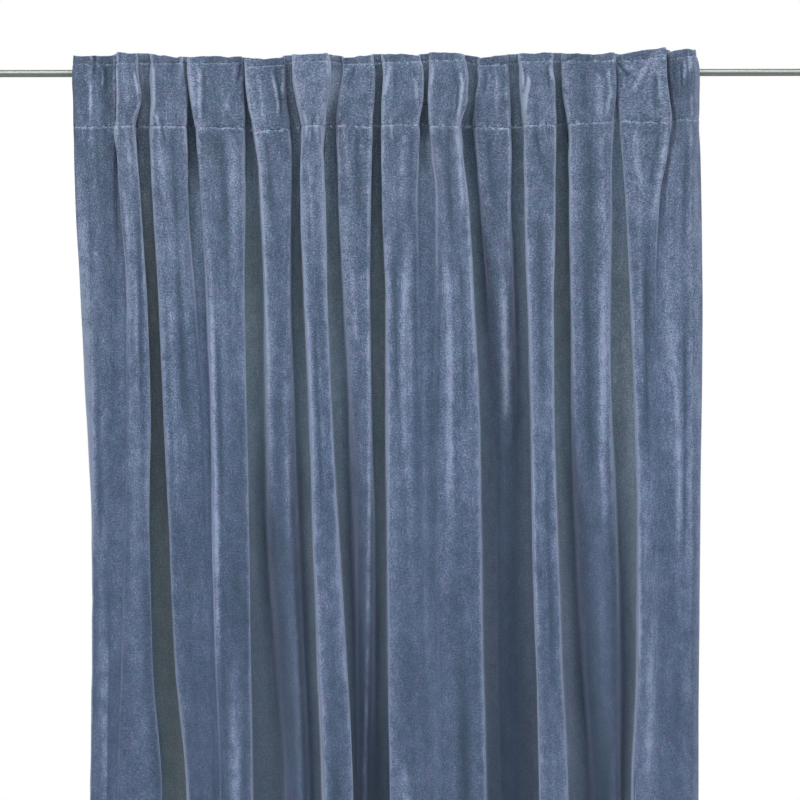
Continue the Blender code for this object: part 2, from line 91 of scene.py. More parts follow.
# fold: (left edge at each row), (right edge at each row)
EDGES = {
    "A": ((88, 88, 89, 89, 89.5, 91, 91.5, 91.5, 91, 90, 88, 88, 86),
          (116.5, 116.5, 116.5, 116, 116, 115.5, 116, 114, 110, 108, 106, 106, 104)),
    "B": ((116, 115.5, 116, 114.5, 116.5, 120, 128, 129, 127, 122, 118, 118, 116),
          (137.5, 138.5, 142, 135.5, 137.5, 141, 146.5, 148.5, 147, 150.5, 160, 160, 156)),
    "C": ((152, 151.5, 151.5, 151, 151, 153.5, 159.5, 164, 169, 175, 186, 188, 192),
          (183, 184.5, 187, 187, 188, 188, 193, 200, 204, 208, 212, 214, 216)),
    "D": ((187.5, 188.5, 192, 196, 198, 202, 208, 212, 214.5, 217, 220, 222, 226),
          (243, 243.5, 243.5, 243, 244, 245, 244, 245, 247, 249.5, 252, 256, 262)),
    "E": ((244, 245, 248.5, 254, 257, 260, 264.5, 266, 270, 278, 286, 290, 294),
          (286, 285.5, 286, 290, 292, 292, 291, 293, 296.5, 300, 304, 308, 312)),
    "F": ((293, 293, 297, 302, 300.5, 300, 303.5, 308, 312, 317.5, 323, 330, 336),
          (327.5, 329.5, 326.5, 324, 323, 325.5, 328, 331.5, 337.5, 345.5, 352, 360, 366)),
    "G": ((344, 345.5, 341, 338, 338, 339, 344, 350, 355, 357, 356, 363, 370),
          (374, 375.5, 373.5, 372.5, 371.5, 371, 370, 371, 372, 370, 368, 377, 383)),
    "H": ((381, 383.5, 383, 382.5, 382, 382.5, 385.5, 386, 386, 387.5, 390, 396, 402),
          (420, 424, 423, 418.5, 418, 415, 416, 418, 420, 422, 424, 432, 436)),
    "I": ((430, 430, 428.5, 430, 433, 439, 439, 438, 438, 440, 442, 450, 454),
          (462, 467, 467, 459.5, 462.5, 468.5, 474, 478, 481, 483, 486, 492, 500)),
    "J": ((480, 480.5, 476, 475, 477, 481, 490, 495, 497, 498, 500, 506, 514),
          (508.5, 508, 508.5, 510.5, 512, 511, 513, 514, 514, 516, 519, 524, 532)),
    "K": ((518.5, 521.5, 523.5, 524.5, 524.5, 525, 527.5, 530, 532, 535, 538, 546, 552),
          (553, 553.5, 555, 556, 556, 556, 554, 554.5, 557, 561.5, 567, 576, 582)),
    "L": ((562, 562.5, 564.5, 568, 569, 569, 571, 572, 578.5, 585, 594, 600, 604),
          (616.5, 616.5, 616.5, 613, 612, 612, 611, 612, 616, 618, 620, 622, 624)),
    "M": ((617, 617, 618, 620.5, 622, 625.5, 630.5, 635, 637.5, 637, 631, 634, 636),
          (666, 667, 669, 672, 668, 659, 655, 656, 657, 657, 656, 656, 656)),
    "N": ((668, 669.5, 672, 675, 671.5, 666, 664, 668, 669, 669, 668, 668, 668),
          (690, 692, 693, 693.5, 693, 692.5, 692.5, 692.5, 692, 690.5, 690, 690, 688)),
}

# the two free side edges
FREE = {
    "left": (74, 73, 74, 74, 74.5, 76, 81, 86, 92, 94, 93, 93, 92),
    "right": (696, 700, 700, 700, 701, 702, 703, 702, 699.5, 698, 698, 697, 696),
}

# fold: millimetres in front of the rod's axis, left edge and right edge
DEPTHS = {
    "A": ((22, 22, 24, 26, 27, 28, 30, 30, 32, 32, 31, 30, 30),
          (24, 22, 24, 27, 30, 33, 37, 39, 39, 38, 37, 34, 34)),
    "B": ((46, 46, 46, 44, 43, 44, 42, 41, 41, 41, 39, 38, 36),
          (38, 38, 40, 39, 38, 38, 38, 38, 38, 36, 30, 30, 30)),
    "C": ((41, 41, 40, 40, 38, 38, 38, 38, 38, 37, 33, 32, 34),
          (34, 34, 34, 36, 34, 36, 40, 44, 45, 44, 40, 38, 38)),
    "D": ((42, 44, 44, 44, 42, 44, 46, 50, 52, 50, 44, 42, 42),
          (26, 24, 26, 29, 30, 32, 36, 38, 38, 38, 36, 34, 34)),
    "E": ((32, 32, 32, 32, 31, 30, 26, 20, 8, -6, -14, -14, -12),
          (21, 20, 22, 26, 26, 26, 23, 18, 12, 6, 0, 0, 0)),
    "F": ((48, 50, 50, 49, 47, 46, 46, 46, 46, 46, 45, 44, 42),
          (46, 48, 48, 47, 45, 44, 44, 44, 44, 44, 44, 42, 40)),
    "G": ((28, 27, 30, 31, 30, 28, 23, 16, 4, -10, -20, -20, -18),
          (36, 37, 36, 36, 34, 33, 30, 26, 18, 4, -12, -16, -16)),
    "H": ((40, 40, 41, 40, 38, 38, 39, 41, 41, 41, 40, 40, 38),
          (36, 38, 38, 36, 34, 36, 40, 42, 42, 41, 40, 38, 38)),
    "I": ((44, 44, 42, 43, 40, 39, 40, 42, 43, 42, 41, 40, 40),
          (46, 48, 48, 47, 44, 46, 49, 51, 51, 50, 48, 46, 44)),
    "J": ((22, 23, 25, 26, 24, 19, 8, -4, -18, -24, -26, -24, -24),
          (31, 31, 31, 32, 30, 24, 12, 0, -16, -24, -26, -24, -24)),
    "K": ((46, 48, 48, 47, 45, 44, 46, 48, 50, 52, 52, 50, 48),
          (44, 46, 46, 46, 45, 44, 46, 48, 50, 52, 52, 50, 48)),
    "L": ((34, 34, 34, 36, 34, 33, 28, 22, 10, 0, -10, -12, -10),
          (43, 43, 42, 40, 38, 35, 32, 26, 16, 6, -4, -8, -8)),
    "M": ((33, 33, 34, 38, 38, 38, 40, 42, 44, 44, 42, 40, 38),
          (55, 55, 52, 50, 46, 45, 44, 43, 41, 39, 38, 36, 36)),
    "N": ((30, 30, 30, 33, 35, 39, 42, 42, 40, 38, 38, 36, 34),
          (36, 36, 35, 36, 35, 36, 38, 38, 36, 34, 34, 32, 32)),
}

# fold: millimetres that the middle of its face stands out (or, below 0, is pulled in)
CROWN = {
    "A": (-4, -8, -3, 1, 1, 1, 1, 1, 1, 1, 1, 1, 1),
    "B": (3,) * 13, "C": (2.5,) * 13, "D": (3,) * 13, "E": (1,) * 13,
    "F": (4,) * 13, "G": (1.5,) * 13, "H": (3.5,) * 13, "I": (3.5,) * 13,
    "J": (1.5,) * 13, "K": (4,) * 13, "L": (2.5,) * 13, "M": (3,) * 13,
    "N": (1,) * 13,
}

# gap: sideways shift of its floor, and how far it has closed (1 is level), each at every row
GAPS = {
    "AB": ((5.5,) * 13, (0, 0, 0.05, 0.3, 0.6, 0.8, 0.9, 0.95, 0.97, 0.97, 0.97, 0.97, 0.97)),
    "BC": ((0,) * 13, (0,) * 13),
    "CD": ((0,) * 13, (0, 0, 0, 0, 0.1, 0.45, 0.8, 0.93, 0.97, 0.97, 0.97, 0.97, 0.97)),
    "DE": ((4, 4, 4, 4, 3, 1.5, 0, 0, 0, 0, 0, 0, 0), (0,) * 13),
    "EF": ((0,) * 13, (0,) * 13),
    "FG": ((0,) * 13, (0,) * 13),
    "GH": ((0,) * 13, (0,) * 13),
    "HI": ((0,) * 13, (0, 0, 0, 0.05, 0.45, 0.7, 0.87, 0.94, 0.97, 0.98, 0.98, 0.98, 0.98)),
    "IJ": ((0,) * 13, (0,) * 13),
    "JK": ((0,) * 13, (0,) * 13),
    "KL": ((0,) * 13, (0,) * 13),
    "LM": ((-4, -4, -4, -3, -2, -1, 0, 0, 0, 0, 0, 0, 0), (0.1, 0.45, 0.6, 0.6, 0.55, 0.4, 0.15, 0, 0, 0, 0, 0, 0)),
    "MN": ((0,) * 13, (0.35, 0.55, 0.7, 0.8, 0.85, 0.9, 0.95, 0.97, 0.97, 0.97, 0.97, 0.97, 0.97)),
}
# millimetres in front of the rod's axis: floor of every open gap, at each row
FLOOR = (9, 8.2, 7, 5.2, 0.2, -5, -11, -15, -21, -26, -31, -34, -36)
FLOOR_HALF = 7.5

# fold: chart height of the top edge, upper seam and lower seam, left end and right end
HEADING = {
    "A": (55.5, 55.5, 63.5, 63.5, 127.0, 125.5),
    "B": (51.0, 53.0, 63.0, 63.0, 125.5, 125.5),
    "C": (53.5, 57.0, 63.0, 63.0, 126.0, 126.0),
    "D": (56.5, 56.0, 63.8, 62.0, 127.5, 127.5),
    "E": (58.5, 56.5, 67.5, 64.5, 131.5, 129.5),
    "F": (54.0, 52.5, 61.0, 61.0, 125.0, 125.0),
    "G": (57.0, 55.0, 63.8, 63.8, 125.0, 127.0),
    "H": (54.5, 54.5, 62.0, 62.0, 125.0, 124.5),
    "I": (53.5, 53.0, 60.5, 60.5, 126.0, 126.0),
    "J": (57.5, 55.0, 66.0, 65.0, 127.5, 128.5),
    "K": (54.0, 53.0, 62.0, 62.0, 125.5, 125.5),
    "L": (54.0, 54.0, 61.5, 61.5, 124.5, 122.0),
    "M": (54.0, 48.5, 62.0, 58.5, 121.5, 123.5),
    "N": (52.0, 49.5, 60.0, 56.5, 120.0, 120.0),
}
NAMES = list(EDGES)

EYE_X = (CHART_EYE[0] - CHART_ROD[0]) * UNIT
EYE_Z = (CHART_ROD[1] - CHART_EYE[1]) * UNIT


def at_row(values, row):
    """A monotone cubic through one row of the chart's columns."""
    x, y = np.array(ROWS, float), np.array(values, float)
    h = np.diff(x)
    slope = np.diff(y) / h
    m = np.zeros(len(x))
    m[0], m[-1] = slope[0], slope[-1]
    for i in range(1, len(x) - 1):
        if slope[i - 1] * slope[i] > 0:
            w1, w2 = 2 * h[i] + h[i - 1], h[i] + 2 * h[i - 1]
            m[i] = (w1 + w2) / (w1 / slope[i - 1] + w2 / slope[i])
    row = min(max(row, x[0]), x[-1])
    i = min(max(int(np.searchsorted(x, row, side="right")) - 1, 0), len(x) - 2)
    t = (row - x[i]) / h[i]
    return float((1 + 2 * t) * (1 - t) ** 2 * y[i] + t * (1 - t) ** 2 * h[i] * m[i]
                 + t * t * (3 - 2 * t) * y[i + 1] + t * t * (t - 1) * h[i] * m[i + 1])


def plan_x(chart_x, forward_mm):
    return EYE_X + (chart_x - CHART_EYE[0]) * UNIT * (1 - forward_mm * 0.001 / VIEW)


def level(chart_y, forward_mm=40.0):
    return EYE_Z + (CHART_EYE[1] - chart_y) * UNIT * (1 - forward_mm * 0.001 / VIEW)


def free_edge(side, row, corner):
    """Where a side hem ends, SIDE_HEM of cloth away from the fold beside it."""
    x = plan_x(at_row(FREE[side], row), corner[1] * 1000 - 6)
    across = min(abs(x - corner[0]), SIDE_HEM * 0.97)
    return (x, corner[1] - math.sqrt(SIDE_HEM ** 2 - across ** 2))


def corner_line(row):
    """One level section through the cloth's middle: its corners, left to right."""
    folds = []
    for name in NAMES:
        ends = []
        for side in (0, 1):
            depth = at_row(DEPTHS[name][side], row)
            inset = (0.0006, -0.0006)[side]      # the cloth's own thickness stands outside its middle
            ends.append((plan_x(at_row(EDGES[name][side], row), depth) + inset, depth * 0.001))
        folds.append(ends)
    floor = at_row(FLOOR, row) * 0.001
    line = [free_edge("left", row, folds[0][0])]
    for k, name in enumerate(NAMES):
        (x0, d0), (x1, d1) = folds[k]
        crown = at_row(CROWN[name], row) * 0.001
        line += [(x0, d0), (0.5 * (x0 + x1), 0.5 * (d0 + d1) + crown), (x1, d1)]
        if k < len(NAMES) - 1:
            x2, d2 = folds[k + 1][0]
            shift, closing = GAPS[name + NAMES[k + 1]]
            shut, shift = at_row(closing, row), at_row(shift, row)
            low = min(d1, d2) - 0.0005
            depth = min(floor * (1 - shut) + low * shut, low)
            between = 0.5 * (at_row(EDGES[name][1], row) + at_row(EDGES[NAMES[k + 1]][0], row))
            centre = plan_x(between + shift * (1 - shut), depth * 1000)   # straight behind the gap
            half = FLOOR_HALF * 0.001
            half = half * (1 - shut) + shut * min(half, 0.3 * max(x2 - x1, 0.004))
            # the floor reaches just behind a fold in front, and stops short of one that stays back
            left, right = centre - half, centre + half
            reach = [plan_x(at_row(EDGES[n][s], row), depth * 1000)
                     for n, s in ((name, 1), (NAMES[k + 1], 0))]
            ahead = [min(max((d * 1000 - 8.0) / 20.0, 0.0), 1.0) for d in (d1, d2)]
            open_left = min(left, reach[0] - 0.0026 * ahead[0] + 0.0040 * (1 - ahead[0]))
            open_right = max(right, reach[1] + 0.0026 * ahead[1] - 0.0040 * (1 - ahead[1]))
            low_down = min(max((row - 130.0) / 60.0, 0.0), 1.0) * (1 - shut)
            left += (open_left - left) * low_down
            right += (open_right - right) * low_down
            line += [(left, depth), (right, depth)]
    line.append(free_edge("right", row, folds[-1][1]))
    line = np.array(line)
    line[:, 1] *= -1.0                      # forward is -Y
    return line


def bend_radius(row):
    """How softly the folds turn: crisp in the heading, fuller lower down."""
    return float(np.interp(row, (55, 125, 200, 400, 800, 2263),
                           (2.4, 2.5, 2.7, 2.9, 3.2, 4.4))) * 0.001


def rounded(line, radius, samples=4200):
    """The corner line with its corners rounded, and how far along it each corner lies."""
    along = np.concatenate([[0.0], np.cumsum(np.linalg.norm(np.diff(line, axis=0), axis=1))])
    u = np.linspace(0.0, along[-1], samples)
    xy = np.stack([np.interp(u, along, line[:, j]) for j in (0, 1)], 1)
    reach = int(math.ceil(3 * radius / (u[1] - u[0])))
    weight = np.exp(-0.5 * (np.arange(-reach, reach + 1) * (u[1] - u[0]) / radius) ** 2)
    weight /= weight.sum()
    ends = (2 * xy[0] - xy[1:reach + 1][::-1], 2 * xy[-1] - xy[-reach - 1:-1][::-1])
    full = np.concatenate([ends[0], xy, ends[1]])
    return u, np.stack([np.convolve(full[:, j], weight, mode="valid") for j in (0, 1)], 1), along


# ------------------------------------------------------- the cloth's fine grid
# Columns are counted in corners: 0 is the left free edge, then each fold has a left
# corner, a middle and a right corner, and each gap the two ends of its floor.
CORNERS_PER_FOLD = 5
LAST_CORNER = CORNERS_PER_FOLD * len(NAMES) - 1


def left_corner(k):
    return 1 + CORNERS_PER_FOLD * k


# where the columns stand inside each kind of strip, from 0 to 1
FREE_HEM = (0.0, 0.03, 0.10, 0.25, 0.45, 0.65, 0.80, 0.90, 0.94)
FACE_LEFT = (0.0, 0.10, 0.22, 0.36, 0.51, 0.67, 0.84)
FACE_RIGHT = (0.0, 0.16, 0.33, 0.49, 0.64, 0.78, 0.90)
WALL = (0.0, 0.08, 0.18, 0.34, 0.55, 0.75, 0.89)
FLOOR_STRIP = (0.0, 0.33, 0.67)


def columns():
    """Columns for the lower cloth; the heading has one more between each two."""
    at = list(FREE_HEM)
    for k in range(len(NAMES)):
        c = left_corner(k)
        at += [c + t for t in FACE_LEFT] + [c + 1 + t for t in FACE_RIGHT]
        if k < len(NAMES) - 1:
            at += [c + 2 + t for t in WALL] + [c + 3 + t for t in FLOOR_STRIP]
            at += [c + 5 - t for t in reversed(WALL[1:])] + [c + 4]
    at += [LAST_CORNER - t for t in reversed(FREE_HEM)]
    at = np.array(sorted(set(round(a, 6) for a in at)))
    if len(at) % 2 == 0:                    # an odd count lets the back take every other one
        at = np.insert(at, len(at) // 2, 0.5 * (at[len(at) // 2 - 1] + at[len(at) // 2]))
    fine = np.empty(2 * len(at) - 1)
    fine[::2] = at
    fine[1::2] = 0.5 * (at[1:] + at[:-1])
    return fine


COLUMNS = columns()

SEAM_UP, SEAM_LOW = 63.0, 126.0             # chart rows of the two seams


def chart_rows():
    """Chart rows of the grid: dense along the top edge, the seams and the bottom hem."""
    spans = ((55.0, 55.9, 0.45), (55.9, 61.2, 1.06), (61.2, 65.2, 0.8), (65.2, 122.0, 3.0),
             (122.0, 129.8, 0.78), (129.8, 152.0, 3.2))
    heading = [55.0]
    for low, high, step in spans:
        n = max(1, int(round((high - low) / step)))
        heading += list(low + (high - low) * (np.arange(n) + 1) / n)
    lower = []
    for low, high, step in ((152.0, 330.0, 7.5), (330.0, 800.0, 18.0), (800.0, 2150.0, 75.0),
                            (2150.0, 2170.0, 10.0), (2170.0, 2179.0, 1.5), (2179.0, 2255.0, 19.0),
                            (2255.0, 2261.9, 3.45), (2261.9, 2262.8, 0.45)):
        n = max(1, int(round((high - low) / step)))
        lower += list(low + (high - low) * (np.arange(n) + 1) / n)
    if (len(heading) - 1) % 2:
        heading.insert(-1, 0.5 * (heading[-1] + heading[-2]))
    if len(lower) % 2:
        lower.insert(3, 0.5 * (lower[2] + lower[3]))
    return np.array(heading + lower), len(heading) - 1


ROWS_AT, SPLIT = chart_rows()               # SPLIT is the last row that has every column


def soft_noise(u, v, cell_u, cell_v, seed):
    """A smooth random field, about -1 to 1, with the given cell sizes along u and v."""
    rng = np.random.default_rng(seed)
    x = (u - u.min()) / cell_u + 1.0
    y = (v - v.min()) / cell_v + 1.0
    lattice = rng.uniform(-1.0, 1.0, (int(y.max()) + 4, int(x.max()) + 4))
    i, j = x.astype(int), y.astype(int)
    s, t = x - i, y - j
    s, t = s * s * s * (s * (s * 6 - 15) + 10), t * t * t * (t * (t * 6 - 15) + 10)
    a = lattice[j, i] * (1 - s) + lattice[j, i + 1] * s
    b = lattice[j + 1, i] * (1 - s) + lattice[j + 1, i + 1] * s
    return 1.35 * (a * (1 - t) + b * t)


def seam_levels(depth_mm):
    """Z of the top edge, upper seam and lower seam at every column."""
    at, heights = [], [[], [], []]
    for k, name in enumerate(NAMES):
        c = left_corner(k)
        for side, corner in ((0, c), (1, c + 2)):
            at.append(corner)
            for j in range(3):
                heights[j].append(HEADING[name][2 * j + side])
    return [level(np.interp(COLUMNS, at, h), depth_mm) for h in heights]


def folded_cloth():
    """The middle surface (rows, columns, xyz) and each point's place on the flat cloth."""
    plan = np.zeros((len(ROWS_AT), len(COLUMNS), 2))
    flat_u = np.zeros((len(ROWS_AT), len(COLUMNS)))
    for r, row in enumerate(ROWS_AT):
        line = corner_line(row)
        u, curve, along = rounded(line, bend_radius(row))
        # folds that stay behind hang softer than the ones in front
        soft = rounded(line, 0.0034 + 0.0062 * float(np.clip((row - 140.0) / 240.0, 0, 1)))[1]
        behind = np.clip((-1000.0 * soft[:, 1:] - 8.0) / 16.0, 0, 1)
        behind = 1 - behind * behind * (3 - 2 * behind)
        curve = curve * (1 - behind) + soft * behind
        s = np.interp(COLUMNS, np.arange(len(along)), along)
        plan[r] = np.stack([np.interp(s, u, curve[:, j]) for j in (0, 1)], 1)
        run = np.concatenate([[0.0], np.cumsum(np.linalg.norm(np.diff(curve, axis=0), axis=1))])
        flat_u[r] = np.interp(s, u, run) * CLOTH_WIDTH / run[-1]
    top, upper, lower = (seam_levels(-1000 * plan[int(np.argmin(abs(ROWS_AT - at)))][:, 1])[k]
                         for k, at in enumerate((58.0, SEAM_UP, SEAM_LOW)))
    wave = soft_noise(flat_u[0], flat_u[0] * 0, 0.016, 1.0, 11)
    top = top + straight_over_gaps(0.0009 * wave + 0.0005 * soft_noise(flat_u[0], flat_u[0] * 0, 0.006, 1.0, 12))
    z = np.zeros(plan.shape[:2])
    below = lower - level(SEAM_LOW)
    for r, row in enumerate(ROWS_AT):
        if row <= SEAM_UP:
            t = (row - 55.0) / (SEAM_UP - 55.0)
            z[r] = top * (1 - t) + upper * t
        elif row <= SEAM_LOW:
            t = (row - SEAM_UP) / (SEAM_LOW - SEAM_UP)
            z[r] = upper * (1 - t) + lower * t
        else:
            fade = max(0.0, (320.0 - row) / (320.0 - SEAM_LOW))
            z[r] = level(row) + below * fade * fade * (3 - 2 * fade)
    # the bottom edge isn't quite level: it follows the folds by a few millimetres
    hang = np.clip((ROWS_AT - 1200.0) / 1040.0, 0, 1)[:, None]
    z = z + 0.0022 * hang * soft_noise(flat_u, flat_u * 0, 0.11, 1.0, 13)
    drop = np.array([level(r) for r in ROWS_AT])
    flat_v = np.repeat((drop[0] - drop)[:, None], len(COLUMNS), 1)
    return np.dstack([plan, z]), flat_u, flat_v


def facing(p):
    """Unit vectors out of the cloth's front, at every point of a grid."""
    along, down = np.gradient(p, axis=1), np.gradient(p, axis=0)
    n = np.cross(down, along)
    return n / np.maximum(np.linalg.norm(n, axis=2, keepdims=True), 1e-12)

